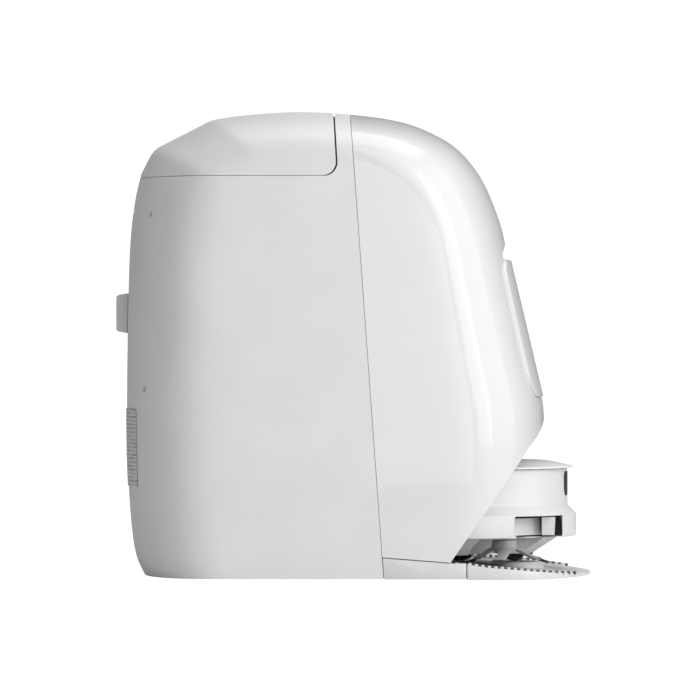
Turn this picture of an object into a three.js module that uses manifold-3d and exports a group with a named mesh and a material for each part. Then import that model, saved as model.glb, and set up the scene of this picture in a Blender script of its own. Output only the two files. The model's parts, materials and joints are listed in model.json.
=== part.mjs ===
// Robot vacuum cleaner in its self-emptying, mop-washing docking station.
//
// Frame: millimetres, +Z up, the floor at z = 0. The front, where the robot drives out, faces -Y.
// "Forward" distances below are measured towards the front, so forward = -y.
// The origin is on the floor, under the middle of the whole object.
import * as THREE from "three";
import { ParametricGeometry } from "three/addons/geometries/ParametricGeometry.js";
import { mergeVertices } from "three/addons/utils/BufferGeometryUtils.js";
import Module from "manifold-3d";

const wasm = await Module();
wasm.setup();

// ---------------------------------------------------------------- driving dimensions, millimetres
const BODY_HEIGHT = 459; // station, floor to crown
const BODY_DEPTH = 416; // station housing, rear wall to its furthest point at the front
const WALL = 3; // outer shells
const INNER_WALL = 2.5; // mouldings inside
const GAP = 0.4; // between two pieces that touch
const SEAM = 0.9; // open joint between two outer shells
const SPACER_DEPTH = 11; // wall spacer behind the rear shell
const SERVICE_DEPTH = 92; // rear wall to the back of the robot bay, for the duct and sockets
const SIDE_SPACE = 35.5; // bay wall to the station's side, for the duct

const ROBOT_RADIUS = 174; // bumper skirt, the robot's widest ring
const ROBOT_HEIGHT = 101; // wheels to top cover
const RAMP_BEYOND_ROBOT = 14; // ramp tip ahead of the parked robot
const PARKED_LIFT = 12; // height that the parked robot's wheels stand at
const BAY_CLEARANCE = 6; // robot to the side walls of its bay
const BAY_BACK_GAP = 8; // robot to the rear wall of its bay
const BAY_HEADROOM = 33; // robot's top cover to the roof of its bay

const LID_DROP = 67; // crown down to the lid's side seam
const PANEL_HALF_WIDTH = 141;
const PANEL_HEIGHT = 135;
const PANEL_RISE = 31; // bay roof up to the front panel
const TANK_GAP = 8; // between the two tanks
const TANK_WALL = 2.2;
const WHEEL_RADIUS = 34;
const WHEEL_WIDTH = 20;
const MOP_RADIUS = 65;
const SIDE_BRUSH_RADIUS = 46;
const PIN_RADIUS = 2;
const PIN_CLEARANCE = 0.35;

// ---------------------------------------------------------------- places that follow from them
const TOTAL_DEPTH = SPACER_DEPTH + SERVICE_DEPTH + BAY_BACK_GAP + 2 * ROBOT_RADIUS + RAMP_BEYOND_ROBOT;
const RAMP_TIP = TOTAL_DEPTH / 2;
const REAR = SPACER_DEPTH - TOTAL_DEPTH / 2;
const FRONT = REAR + BODY_DEPTH;
const BAY_REAR = REAR + SERVICE_DEPTH;
const ROBOT_CENTRE = BAY_REAR + BAY_BACK_GAP + ROBOT_RADIUS;
const ROBOT_TOP = PARKED_LIFT + ROBOT_HEIGHT;
const BAY_HALF_WIDTH = ROBOT_RADIUS + BAY_CLEARANCE;
const HALF_WIDTH = BAY_HALF_WIDTH + INNER_WALL + SIDE_SPACE; // station housing, middle to side
const BAY_ROOF = ROBOT_TOP + BAY_HEADROOM;
const LID_SEAM_Z = BODY_HEIGHT - LID_DROP;
const FLOOR_SURFACE = PARKED_LIFT - GAP; // what the robot stands on

// ---------------------------------------------------------------- solids
const UP = new THREE.Vector3(0, 0, 1);
// A shape drawn as (forward, up) and extruded becomes a prism across the object.
const DRAWN_SIDE_ON = new THREE.Matrix4().set(0, 0, -1, 0, -1, 0, 0, 0, 0, 1, 0, 0, 0, 0, 0, 1);

function solidOf(geometry) {
  const bare = geometry.index ? geometry.toNonIndexed() : geometry.clone();
  for (const name of Object.keys(bare.attributes)) if (name !== "position") bare.deleteAttribute(name);
  const merged = mergeVertices(bare, 1e-4);
  const corners = merged.index.array;
  const kept = [];
  for (let i = 0; i < corners.length; i += 3) {
    const [a, b, c] = [corners[i], corners[i + 1], corners[i + 2]];
    if (a !== b && b !== c && c !== a) kept.push(a, b, c);
  }
  const vertProperties = merged.attributes.position.array;
  return new wasm.Manifold(new wasm.Mesh({ numProp: 3, vertProperties, triVerts: new Uint32Array(kept) }));
}

function geometryOf(solid) {
  const mesh = solid.getMesh();
  return new THREE.BufferGeometry()
    .setAttribute("position", new THREE.BufferAttribute(mesh.vertProperties, 3))
    .setIndex(new THREE.BufferAttribute(mesh.triVerts, 1));
}

const join = (first, ...others) => others.reduce((a, b) => a.add(b), first);
const cut = (first, ...others) => others.reduce((a, b) => a.subtract(b), first);

/** A side-on shape, drawn as (forward, up), extruded from x0 to x1. */
function across(shape, x0, x1, curveSegments = 6) {
  const g = new THREE.ExtrudeGeometry(shape, { depth: x1 - x0, bevelEnabled: false, curveSegments });
  return solidOf(g.translate(0, 0, -x1).applyMatrix4(DRAWN_SIDE_ON));
}

/** A plan shape, drawn as (x, y), extruded from z0 to z1. */
function plate(shape, z0, z1, curveSegments = 6) {
  const g = new THREE.ExtrudeGeometry(shape, { depth: z1 - z0, bevelEnabled: false, curveSegments });
  return solidOf(g.translate(0, 0, z0));
}

/** A box between two forward distances, across x0 to x1 and up z0 to z1. */
function box(x0, x1, back, front, z0, z1) {
  const g = new THREE.BoxGeometry(x1 - x0, front - back, z1 - z0);
  return solidOf(g.translate((x0 + x1) / 2, -(back + front) / 2, (z0 + z1) / 2));
}

/** An upright cylinder, or a cone frustum, at (x, forward). */
function upright(x, forward, z0, z1, radius, segments = 24, topRadius = radius) {
  const g = new THREE.CylinderGeometry(topRadius, radius, z1 - z0, segments);
  return solidOf(g.rotateX(Math.PI / 2).translate(x, -forward, (z0 + z1) / 2));
}

/** A cylinder across the object, from x0 to x1. */
function axle(x0, x1, forward, z, radius, segments = 20) {
  const g = new THREE.CylinderGeometry(radius, radius, x1 - x0, segments);
  return solidOf(g.rotateZ(Math.PI / 2).translate((x0 + x1) / 2, -forward, z));
}

/** A cylinder along the object, between two forward distances. */
function lengthwise(x, z, back, front, radius, segments = 20) {
  const g = new THREE.CylinderGeometry(radius, radius, front - back, segments);
  return solidOf(g.translate(x, -(back + front) / 2, z));
}

/** A turned solid about an upright axis at (x, forward), from (radius, height) pairs. */
function turned(profile, x, forward, segments = 48) {
  const points = profile.map(([r, z]) => new THREE.Vector2(r, z));
  const g = new THREE.LatheGeometry(points, segments);
  return solidOf(g.rotateX(Math.PI / 2).translate(x, -forward, 0));
}

function outline(points) {
  return new THREE.Shape(points.map(([a, b]) => new THREE.Vector2(a, b)));
}

function roundedRectangle(x0, y0, x1, y1, r) {
  const s = new THREE.Shape();
  s.moveTo(x0 + r, y0).lineTo(x1 - r, y0);
  s.absarc(x1 - r, y0 + r, r, -Math.PI / 2, 0);
  s.lineTo(x1, y1 - r).absarc(x1 - r, y1 - r, r, 0, Math.PI / 2);
  s.lineTo(x0 + r, y1).absarc(x0 + r, y1 - r, r, Math.PI / 2, Math.PI);
  s.lineTo(x0, y0 + r).absarc(x0 + r, y0 + r, r, Math.PI, 1.5 * Math.PI);
  return s;
}

// ---------------------------------------------------------------- the housing's outer form
// The middle silhouette, rear foot to crown to front foot, as shares of depth and height.
const REAR_WALL = [[0.043, 0], [0.021, 0.046], [0.0085, 0.129], [0.001, 0.26], [0, 0.436], [0.006, 0.69],
  [0.018, 0.802], [0.034, 0.867]];
const LID_FACET = [[0.062, 0.9185], [0.203, 0.9835]];
const CROWN = [[0.27, 0.9925], [0.37, 0.9995], [0.45, 1], [0.534, 0.995], [0.629, 0.984], [0.708, 0.9635],
  [0.788, 0.9225], [0.848, 0.857], [0.888, 0.774], [0.905, 0.718]];
const FRONT_FOOT = [[0.996, 0.37], [1, 0.32], [1, 0]];
const SIDE_SHRINK = { depth: 0.493, height: 0.105 }; // how much smaller the flat sides are than the silhouette
const SHRINK_CENTRE = REAR + 0.488 * BODY_DEPTH; // the sides shrink about this forward distance
const ROUNDNESS = 2.8; // exponent of the curve between the silhouette and the sides

function silhouette() {
  const at = ([depth, height]) => new THREE.Vector2(REAR + depth * BODY_DEPTH, height * BODY_HEIGHT);
  const path = new THREE.Path();
  const foot = at(REAR_WALL[0]);
  path.moveTo(foot.x, foot.y);
  path.splineThru(REAR_WALL.slice(1).map(at));
  for (const corner of LID_FACET.map(at)) path.lineTo(corner.x, corner.y);
  path.splineThru(CROWN.map(at));
  for (const corner of FRONT_FOOT.map(at)) path.lineTo(corner.x, corner.y);
  const points = [];
  for (const curve of path.curves) {
    const steps = curve.type === "SplineCurve" ? Math.round(curve.points.length * 1.3) : 1;
    for (let i = 0; i < steps; i++) points.push(curve.getPoint(i / steps));
  }
  points.push(at(FRONT_FOOT.at(-1)));
  return points;
}

/** Forward distance of the silhouette's front or rear at height z. */
function edgeAt(z, front) {
  const points = silhouette();
  const crown = points.findIndex((p) => p.y > 0.999 * BODY_HEIGHT);
  const side = front ? points.slice(crown) : points.slice(0, crown).reverse();
  const i = side.findIndex((p) => p.y < z);
  const [a, b] = [side[i - 1], side[i]];
  return a.x + ((b.x - a.x) * (z - a.y)) / (b.y - a.y);
}

/** The outline moved inwards; its two feet go below the floor, so a hollow made with it is open there. */
function movedIn(points, inset) {
  if (!inset) return points;
  return points.map((p, i) => {
    const before = points[Math.max(i - 1, 0)];
    const after = points[Math.min(i + 1, points.length - 1)];
    const along = after.clone().sub(before).normalize();
    const moved = new THREE.Vector2(p.x + along.y * inset, p.y - along.x * inset);
    if (i === 0 || i === points.length - 1) moved.y = inset > 0 ? -1 : 0;
    return moved;
  });
}

/** How far the section at x has gone from the silhouette (0) to the flat side (1). */
const sideShare = (x, halfWidth) => 1 - (1 - Math.abs(x / halfWidth) ** ROUNDNESS) ** (1 / ROUNDNESS);

/** The station's outer form, shrunk by inset all round. */
function bodyForm(inset = 0) {
  const points = movedIn(silhouette(), inset);
  const halfWidth = HALF_WIDTH - inset;
  const quarter = [1, 0.994, 0.95, 0.86, 0.72, 0.5, 0.25, 0];
  const sections = [...quarter.map((s) => -s), ...quarter.slice(0, -1).reverse()];
  const rings = sections.length + 1; // and one point in the middle of each flat side
  const middle = new THREE.Vector2(SHRINK_CENTRE, BODY_HEIGHT / 2);
  const surface = (u, v, target) => {
    const ring = Math.round(v * rings);
    const p = points[Math.round(u * points.length) % points.length];
    const pole = ring === 0 || ring === rings;
    const x = sections[Math.min(Math.max(ring - 1, 0), sections.length - 1)] * halfWidth;
    const share = sideShare(x, halfWidth);
    const forward = pole ? middle.x : SHRINK_CENTRE + (p.x - SHRINK_CENTRE) * (1 - SIDE_SHRINK.depth * share);
    const z = pole ? middle.y : p.y * (1 - SIDE_SHRINK.height * share);
    target.set(x, -forward, z);
  };
  return solidOf(new ParametricGeometry(surface, points.length, rings));
}

const outer = bodyForm();
const inner = bodyForm(WALL);
const core = bodyForm(WALL + 1); // everything inside the shells stays in here
const shell = cut(outer, inner);
const BIG = 600; // further than anything reaches

// The seam between the rear shell and the front cover leans back as it rises.
const SEAM_FOOT = FRONT - 161;
const SEAM_LEAN = 0.072;
function aheadOfSeam(shift) {
  return across(outline([[SEAM_FOOT + shift, -5], [BIG, -5], [BIG, BIG],
    [SEAM_FOOT + shift - SEAM_LEAN * (BIG + 5), BIG]]), -BIG, BIG);
}

// The lid's zone: everything above its side seam and behind its front seam, with a round lower corner.
const LID_FRONT = SEAM_FOOT - SEAM_LEAN * LID_SEAM_Z - 17;
const LID_CORNER = 13;
function lidZone(grow) {
  const z0 = LID_SEAM_Z - grow;
  const front = LID_FRONT + grow;
  const s = new THREE.Shape();
  s.moveTo(-BIG, z0).lineTo(front - LID_CORNER, z0);
  s.absarc(front - LID_CORNER, z0 + LID_CORNER, LID_CORNER, -Math.PI / 2, 0);
  s.lineTo(front - 5, BODY_HEIGHT + 20).lineTo(-BIG, BODY_HEIGHT + 20);
  return across(s, -BIG, BIG);
}

// The open, slanted mouth of the robot bay, cut through the housing's lower front.
const MOUTH_FOOT = [FRONT - 97, 16.4];
const MOUTH_SLOPE = 0.7; // forward per millimetre up
const MOUTH_TOP = 128; // where the slant turns round into the front
function mouth(shift = 0) {
  const at = (z) => MOUTH_FOOT[0] + MOUTH_SLOPE * (z - MOUTH_FOOT[1]) - shift;
  const s = new THREE.Shape();
  s.moveTo(at(-20), -20).lineTo(at(MOUTH_TOP), MOUTH_TOP);
  s.quadraticCurveTo(FRONT - shift, MOUTH_TOP + 20, FRONT + 1 - shift, MOUTH_TOP + 40);
  s.lineTo(BIG, MOUTH_TOP + 40).lineTo(BIG, -20);
  return across(s, -BIG, BIG);
}

// ---------------------------------------------------------------- the lid's hinge
// The lid's tongue hangs down the rear in a notch of the rear shell and swings inwards as the lid opens.
const HINGE = { forward: edgeAt(LID_SEAM_Z - 22, false) + 10.2, z: LID_SEAM_Z - 22 };
const TONGUE = { halfWidth: 72, reach: 7, room: 11 }; // reach and room are below the hinge's axis
const KNUCKLES = [[52, 68], [-68, -52]];
const BOSSES = [[76, 88], [-88, -76]]; // on the rear shell, outside the tongue
const PIN_HALF_LENGTH = 86;
const tongueZone = (grow, below) => box(-TONGUE.halfWidth - grow, TONGUE.halfWidth + grow, -BIG, REAR + 60,
  HINGE.z - below, LID_SEAM_Z + 4);
const hingeBore = () => axle(-BIG, BIG, HINGE.forward, HINGE.z, PIN_RADIUS + PIN_CLEARANCE, 12);

// ---------------------------------------------------------------- the front panel and its finger scoop
const PANEL_BOTTOM = BAY_ROOF + PANEL_RISE;
const PANEL_TOP = PANEL_BOTTOM + PANEL_HEIGHT;
const PANEL_CORNER = 24;
const PANEL_THICKNESS = 5.6;
const PANEL_PROUD = 2;
const PANEL_REST = 4.4; // depth of the recess floor that the panel lies on
function panelZone(grow, back = FRONT - 110) {
  const s = roundedRectangle(-PANEL_HALF_WIDTH - grow, PANEL_BOTTOM - grow, PANEL_HALF_WIDTH + grow,
    PANEL_TOP + grow, PANEL_CORNER);
  const g = new THREE.ExtrudeGeometry(s, { depth: BIG - back, bevelEnabled: false, curveSegments: 5 });
  return solidOf(g.rotateX(Math.PI / 2).translate(0, -back, 0));
}
const SCOOP = { top: PANEL_TOP + 18, depth: 13, halfWidth: PANEL_HALF_WIDTH - 16 };
function scoopZone(grow) {
  const lip = edgeAt(SCOOP.top, true);
  return across(outline([[lip - grow, SCOOP.top + grow], [lip - 5 - grow, PANEL_TOP + 4],
    [lip - SCOOP.depth - grow, PANEL_TOP - 1], [BIG, PANEL_TOP - 1], [BIG, SCOOP.top + grow]]),
  -SCOOP.halfWidth - grow, SCOOP.halfWidth + grow);
}

// ---------------------------------------------------------------- dust case
const CASE = {
  halfWidth: 98, bottom: PANEL_BOTTOM + 9, top: PANEL_TOP - 9, back: FRONT - 132,
};
const caseHole = (grow) => box(-CASE.halfWidth - grow, CASE.halfWidth + grow, CASE.back - grow, BIG,
  CASE.bottom - grow, CASE.top + grow);

// ---------------------------------------------------------------- outer shells
const FASTENER = { x: HALF_WIDTH - 50, low: BODY_HEIGHT * 0.403, high: BODY_HEIGHT * 0.773, hole: 3.4,
  head: 2.9 };
const sidesAndLevels = [["left", -1], ["right", 1]].flatMap(([side, sign]) =>
  [["lower", FASTENER.low], ["upper", FASTENER.high]].map(([level, z]) => ({ side, sign, level, z })));
const SPACER = { halfWidth: 34, bottom: BODY_HEIGHT * 0.521, top: BODY_HEIGHT * 0.61 };
const INLET = { x: 120, z: 34, halfWidth: 13, halfHeight: 9, depth: 16 };
const LABEL = { x0: -146, x1: -52, z0: 89, z1: 165, thickness: 0.5 };

const BASE_TOP_REAR = 21.5;
/** The strip of the base that shows under the front cover's sides. */
function baseStrip(grow) {
  return across(outline([[-BIG, -5], [BIG, -5], [BIG, MOUTH_FOOT[1] + grow],
    [MOUTH_FOOT[0], MOUTH_FOOT[1] + grow],
    [SEAM_FOOT, BASE_TOP_REAR + grow], [-BIG, BASE_TOP_REAR + grow]]), -BIG, BIG);
}

function rearShell() {
  const bosses = BOSSES.map(([x0, x1]) => cut(box(x0, x1, HINGE.forward - 30, HINGE.forward + 5,
    HINGE.z - 16,
    HINGE.z + 6).intersect(outer), hingeBore()));
  const behind = cut(shell, aheadOfSeam(-SEAM / 2), lidZone(SEAM / 2));
  const floorRim = box(-BIG, BIG, -BIG, BIG, -10, 0.9);
  const holes = sidesAndLevels.map(({ sign, z }) =>
    lengthwise(sign * FASTENER.x, z, -BIG, REAR + 60, FASTENER.hole, 12));
  const inletHole = box(INLET.x - INLET.halfWidth - GAP, INLET.x + INLET.halfWidth + GAP, -BIG, REAR + 40,
    INLET.z - INLET.halfHeight - GAP, INLET.z + INLET.halfHeight + GAP);
  return cut(join(behind, ...bosses), tongueZone(SEAM, TONGUE.room), floorRim, inletHole, ...holes);
}

function frontCover() {
  const skin = shell.intersect(aheadOfSeam(SEAM / 2));
  const recess = cut(bodyForm(PANEL_REST), bodyForm(PANEL_REST + INNER_WALL)).intersect(panelZone(6));
  const rim = cut(outer.intersect(cut(panelZone(3.2), panelZone(0.7))), bodyForm(PANEL_REST + INNER_WALL));
  const scoop = cut(scoopZone(INNER_WALL), scoopZone(0)).intersect(outer).intersect(aheadOfSeam(20));
  const opened = cut(skin, panelZone(0.7), scoopZone(0));
  const made = join(opened, recess, rim, scoop);
  return cut(made, mouth(), caseHole(-4), baseStrip(SEAM / 2), scoopFront());
}

/** The air in front of the scoop and the panel recess, which no wall may fill. */
function scoopFront() {
  return join(scoopZone(0), panelZone(0.7, FRONT - 110).intersect(cut(bodyForm(-30),
    bodyForm(PANEL_REST))));
}

function topLid() {
  return shell.intersect(join(lidZone(-SEAM / 2), tongueZone(0, TONGUE.reach)));
}

function hingeBracket() {
  const backing = cut(bodyForm(WALL + GAP), bodyForm(WALL + GAP + 3)).intersect(box(-66, 66, -BIG,
    REAR + 60,
    HINGE.z - TONGUE.reach + 1, LID_SEAM_Z + 18));
  const knuckles = KNUCKLES.map(([x0, x1]) => axle(x0, x1, HINGE.forward, HINGE.z, 6, 16).intersect(
    bodyForm(WALL + GAP)));
  return cut(join(backing, ...knuckles), hingeBore());
}

function frontPanel() {
  return cut(bodyForm(-PANEL_PROUD), bodyForm(PANEL_THICKNESS - PANEL_PROUD)).intersect(panelZone(0));
}

// ---------------------------------------------------------------- base, ramp and wash tray
const BASE_FRONT = ROBOT_CENTRE + 61;
const RAIL_WIDTH = 16; // side rails that guide the robot in
const RUBBER = 2; // feet below the base

function baseFrame() {
  const inside = core.intersect(box(-BIG, BIG, REAR + 4, SEAM_FOOT + 14, RUBBER, BASE_TOP_REAR - 2));
  const visible = outer.intersect(aheadOfSeam(SEAM / 2)).intersect(box(-BIG, BIG, -BIG,
    BASE_FRONT - SEAM / 2,
    RUBBER, BASE_TOP_REAR)).intersect(baseStrip(-SEAM / 2));
  const lane = box(-HALF_WIDTH + RAIL_WIDTH, HALF_WIDTH - RAIL_WIDTH, BAY_REAR - 8, BIG, FLOOR_SURFACE - 2,
    60);
  const behind = box(-BIG, BIG, -BIG, BAY_REAR - 8, FLOOR_SURFACE, 60);
  return cut(join(inside, visible), lane, behind, trayZone(GAP));
}

// The two mop pads almost meet in the middle and reach almost to the robot's rim.
const MOP = { x: MOP_RADIUS + 6, top: PARKED_LIFT + 6 };
MOP.forward = ROBOT_CENTRE - Math.sqrt((ROBOT_RADIUS - 6 - MOP_RADIUS) ** 2 - MOP.x ** 2);
const TRAY = {
  back: BAY_REAR + 6, front: MOP.forward + MOP_RADIUS + 8, halfWidth: BAY_HALF_WIDTH - 12, bottom: 4.5,
};
function trayZone(grow) {
  return plate(roundedRectangle(-TRAY.halfWidth - grow, -TRAY.front - grow, TRAY.halfWidth + grow,
    -TRAY.back + grow, 30), TRAY.bottom - grow, 60);
}

function washTray() {
  const slab = trayZone(0).intersect(box(-BIG, BIG, -BIG, BIG, 0, FLOOR_SURFACE));
  const basins = [-1, 1].map((side) => upright(side * MOP.x, MOP.forward, FLOOR_SURFACE - 4, 60,
    MOP_RADIUS + 4, 32));
  const ribs = [-1, 1].flatMap((side) => [0, 60, 120].map((turn) => {
    const g = new THREE.BoxGeometry(2 * MOP_RADIUS, 5, 4.4).rotateZ(THREE.MathUtils.degToRad(turn));
    return solidOf(g.translate(side * MOP.x, -MOP.forward, FLOOR_SURFACE - 2.2));
  }));
  return join(cut(slab, ...basins), ...ribs);
}

const RIM = [[0, 15], [0.165, 11.8], [0.425, 9.2], [0.693, 5.8], [1, 2.4]].map(([reach, z]) =>
  [BASE_FRONT + reach * (RAMP_TIP - BASE_FRONT), z]);
const CASTER = { forward: ROBOT_CENTRE + ROBOT_RADIUS - 58, radius: 12, width: 14, trail: 4, disc: 17 };

function ramp() {
  const halfWidth = HALF_WIDTH - 1.5;
  const plan = new THREE.Shape();
  plan.moveTo(-halfWidth, -BASE_FRONT - SEAM / 2);
  plan.splineThru([[-0.98, 0.46], [-0.76, 0.735], [-0.4, 0.93], [0, 1], [0.4, 0.93], [0.76, 0.735],
    [0.98, 0.46],
    [1, 0]].map(([across_, reach]) => new THREE.Vector2(across_ * halfWidth,
    -BASE_FRONT - SEAM / 2 - reach * (RAMP_TIP - BASE_FRONT - SEAM / 2))));
  const block = plate(plan, 0, 40, 4);
  const top = across(outline([...RIM, [RAMP_TIP + 20, 1.2], [RAMP_TIP + 20, -5], [BASE_FRONT, -5]]), -BIG,
    BIG);
  const lane = across(outline([[BASE_FRONT - 5, FLOOR_SURFACE - 1.5], [RAMP_TIP - 8, 2.6],
    [RAMP_TIP + 20, 2.6],
    [RAMP_TIP + 20, 60], [BASE_FRONT - 5, 60]]), -halfWidth + RAIL_WIDTH, halfWidth - RAIL_WIDTH);
  const g = new THREE.CylinderGeometry(34, 38, FLOOR_SURFACE - 1.5, 24).rotateX(Math.PI / 2).scale(1, 0.72,
    1);
  const casterPad = solidOf(g.translate(0, -CASTER.forward, (FLOOR_SURFACE - 1.5) / 2 + 1.5));
  return join(cut(block.intersect(top), lane), casterPad);
}

const FEET = [["rear_left", -150, REAR + 60], ["rear_right", 150, REAR + 60],
  ["front_left", -180, SEAM_FOOT + 36],
  ["front_right", 180, SEAM_FOOT + 36]];
const foot = (x, forward) => upright(x, forward, 0, RUBBER - GAP, 9, 16, 10);

// ---------------------------------------------------------------- robot bay and the frame over it
function bayHousing() {
  const outsideBox = box(-BAY_HALF_WIDTH - INNER_WALL, BAY_HALF_WIDTH + INNER_WALL, BAY_REAR - INNER_WALL,
    BIG,
    BASE_TOP_REAR + GAP, BAY_ROOF + INNER_WALL);
  const hollow = box(-BAY_HALF_WIDTH, BAY_HALF_WIDTH, BAY_REAR, BIG, -10, BAY_ROOF);
  const jamb = cut(mouth(INNER_WALL + 2), mouth(2)).intersect(box(-BIG, BIG, 0, BIG, BASE_TOP_REAR + 2,
    BIG));
  const walls = cut(join(outsideBox, jamb), hollow, mouth(2)).intersect(bodyForm(WALL + GAP));
  const contactSlots = [-1, 1].map((side) => box(side * CONTACT.x - 8.5, side * CONTACT.x + 8.5, -BIG,
    BAY_REAR + 1,
    CONTACT.z - 6.5, CONTACT.z + 6.5));
  const port = lengthwise(DUCT.x, DUCT.z, -BIG, BAY_REAR + 1, DUCT.radius + 1, 20);
  return cut(walls, ...contactSlots, port, ductForm(1), panelZone(8),
    box(-BIG, BIG, FRONT - 60, BIG, PANEL_BOTTOM - 12, BIG));
}

// Sprung charging contacts stand out of the bay's rear wall and press on the back of the robot.
const CONTACT = { x: 28, z: 48, halfWidth: 6, halfHeight: 4 };
const CONTACT_NOSE = ROBOT_CENTRE - Math.sqrt((ROBOT_RADIUS - 9) ** 2 - (CONTACT.x - CONTACT.halfWidth) ** 2) - GAP;
const chargeContact = (side) => join(
  box(side * CONTACT.x - 8, side * CONTACT.x + 8, BAY_REAR - 7, BAY_REAR - INNER_WALL - GAP, CONTACT.z - 8,
    CONTACT.z + 8),
  box(side * CONTACT.x - CONTACT.halfWidth, side * CONTACT.x + CONTACT.halfWidth, BAY_REAR - 4,
    CONTACT_NOSE,
    CONTACT.z - CONTACT.halfHeight, CONTACT.z + CONTACT.halfHeight));

const PARTITION = LID_FRONT + 3;
const DECK_Z = LID_SEAM_Z - 12;
const TANK = {
  back: REAR + 31, front: LID_FRONT - 9, inner: TANK_GAP / 2, outer: HALF_WIDTH - 62,
  bottom: BAY_ROOF + INNER_WALL + GAP, top: LID_SEAM_Z - 20, corner: 18,
};
function tankPlan(side, grow = 0) {
  const [a, b] = [TANK.inner - grow, TANK.outer + grow];
  const [x0, x1] = side > 0 ? [a, b] : [-b, -a];
  return roundedRectangle(x0, -TANK.front - grow, x1, -TANK.back + grow, TANK.corner);
}

function innerFrame() {
  const wall = core.intersect(box(-BIG, BIG, PARTITION, PARTITION + INNER_WALL, BAY_ROOF + INNER_WALL + GAP,
    DECK_Z + INNER_WALL));
  const deck = core.intersect(box(-BIG, BIG, -BIG, PARTITION + INNER_WALL, DECK_Z, DECK_Z + INNER_WALL));
  const well = box(-TANK.outer - 2.5, TANK.outer + 2.5, TANK.back - 2.5, TANK.front + 2.5, 0, BIG);
  const openRear = box(-BIG, BIG, -BIG, TANK.back - 2.5, 0, BIG);
  return cut(join(wall, deck), well, openRear, ductForm(1.5));
}

// ---------------------------------------------------------------- water tanks
function tankBody(side) {
  const hollow = plate(tankPlan(side, -TANK_WALL), TANK.bottom + TANK_WALL, BIG);
  return cut(plate(tankPlan(side), TANK.bottom, TANK.top), hollow);
}

const COVER_TOP = TANK.top + GAP + 4;
const HANDLE = { forward: (TANK.back + TANK.front) / 2 - 14, z: COVER_TOP + 6, reach: 60, bar: 4.5,
  inset: 14 };
function tankCover(side) {
  const top = plate(tankPlan(side), TANK.top + GAP, COVER_TOP);
  const middle = side * (TANK.inner + TANK.outer) / 2;
  const half = (TANK.outer - TANK.inner) / 2 - HANDLE.inset;
  const lugs = [-1, 1].map((end) => {
    const x = middle + end * half;
    return cut(box(x - 3, x + 3, HANDLE.forward - 6, HANDLE.forward + 6, COVER_TOP - 1, HANDLE.z + 5),
      axle(x - 5, x + 5, HANDLE.forward, HANDLE.z, PIN_RADIUS + PIN_CLEARANCE, 12));
  });
  return cut(join(top, ...lugs), ...(side < 0 ? [fillHole()] : []));
}

function tankHandle(side) {
  const middle = side * (TANK.inner + TANK.outer) / 2;
  const half = (TANK.outer - TANK.inner) / 2 - HANDLE.inset;
  const [z0, z1] = [HANDLE.z - 3.5, HANDLE.z + 3.5];
  const arms = [-1, 1].map((end) => {
    const x = middle + end * (half - 7);
    const pin = end < 0 ? axle(x - 10.5, x, HANDLE.forward, HANDLE.z, PIN_RADIUS, 12)
      : axle(x, x + 10.5, HANDLE.forward, HANDLE.z, PIN_RADIUS, 12);
    return join(box(x - 3.2, x + 3.2, HANDLE.forward - HANDLE.bar, HANDLE.forward + HANDLE.reach, z0, z1),
      pin);
  });
  const grip = box(middle - half + 4, middle + half - 4, HANDLE.forward + HANDLE.reach - 12,
    HANDLE.forward + HANDLE.reach, z0, z1);
  return join(grip, ...arms);
}

const FILL = { x: -(TANK.inner + TANK.outer) / 2, forward: TANK.back + 36, radius: 17 };
const fillHole = () => upright(FILL.x, FILL.forward, TANK.top - 5, BIG, FILL.radius, 20);
function fillCap() {
  const lid = upright(FILL.x, FILL.forward, COVER_TOP + GAP, COVER_TOP + 4.4, FILL.radius + 3, 20);
  const plug = cut(upright(FILL.x, FILL.forward, TANK.top + 1, COVER_TOP + 1, FILL.radius - 2.5, 20),
    upright(FILL.x, FILL.forward, TANK.top - 1, COVER_TOP - 1.5, FILL.radius - 5, 20));
  const tab = box(FILL.x - 7, FILL.x + 7, FILL.forward - FILL.radius - 9, FILL.forward - FILL.radius + 2,
    COVER_TOP + GAP, COVER_TOP + 4.4);
  return join(lid, plug, tab);
}

// ---------------------------------------------------------------- dust collection, pumps and electronics
function dustCase() {
  const front = cut(box(-CASE.halfWidth, CASE.halfWidth, CASE.back, BIG, CASE.bottom, CASE.top),
    box(-CASE.halfWidth + INNER_WALL, CASE.halfWidth - INNER_WALL, CASE.back + INNER_WALL, BIG,
      CASE.bottom + INNER_WALL, CASE.top - INNER_WALL));
  const suction = lengthwise(0, (CASE.bottom + CASE.top) / 2, CASE.back - 10, CASE.back + 10, 22);
  const entry = lengthwise(CASE.halfWidth - 26, CASE.top - 24, CASE.back - 10, CASE.back + 10,
    DUCT.radius + 1);
  return cut(front.intersect(bodyForm(PANEL_REST + INNER_WALL + GAP)), suction, entry);
}

const BAG = { halfWidth: CASE.halfWidth - 10, depth: 62, back: CASE.back + 14 };
function dustBag() {
  const s = roundedRectangle(-BAG.halfWidth, CASE.bottom + 9, BAG.halfWidth, CASE.top - 9, 20);
  const bevelSize = 8;
  const g = new THREE.ExtrudeGeometry(s, {
    depth: BAG.depth - 2 * bevelSize, bevelThickness: bevelSize, bevelSize, bevelOffset: -bevelSize,
    bevelSegments: 2, curveSegments: 4,
  });
  return solidOf(g.rotateX(Math.PI / 2).translate(0, -BAG.back - bevelSize, 0));
}

function bagCollar() {
  const back = CASE.back + INNER_WALL + 2;
  const board = box(-BAG.halfWidth + 2, BAG.halfWidth - 2, back, BAG.back - GAP, CASE.bottom + 7,
    CASE.top - 7);
  return cut(board, lengthwise(CASE.halfWidth - 26, CASE.top - 24, CASE.back, BIG, DUCT.radius, 16));
}

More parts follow.
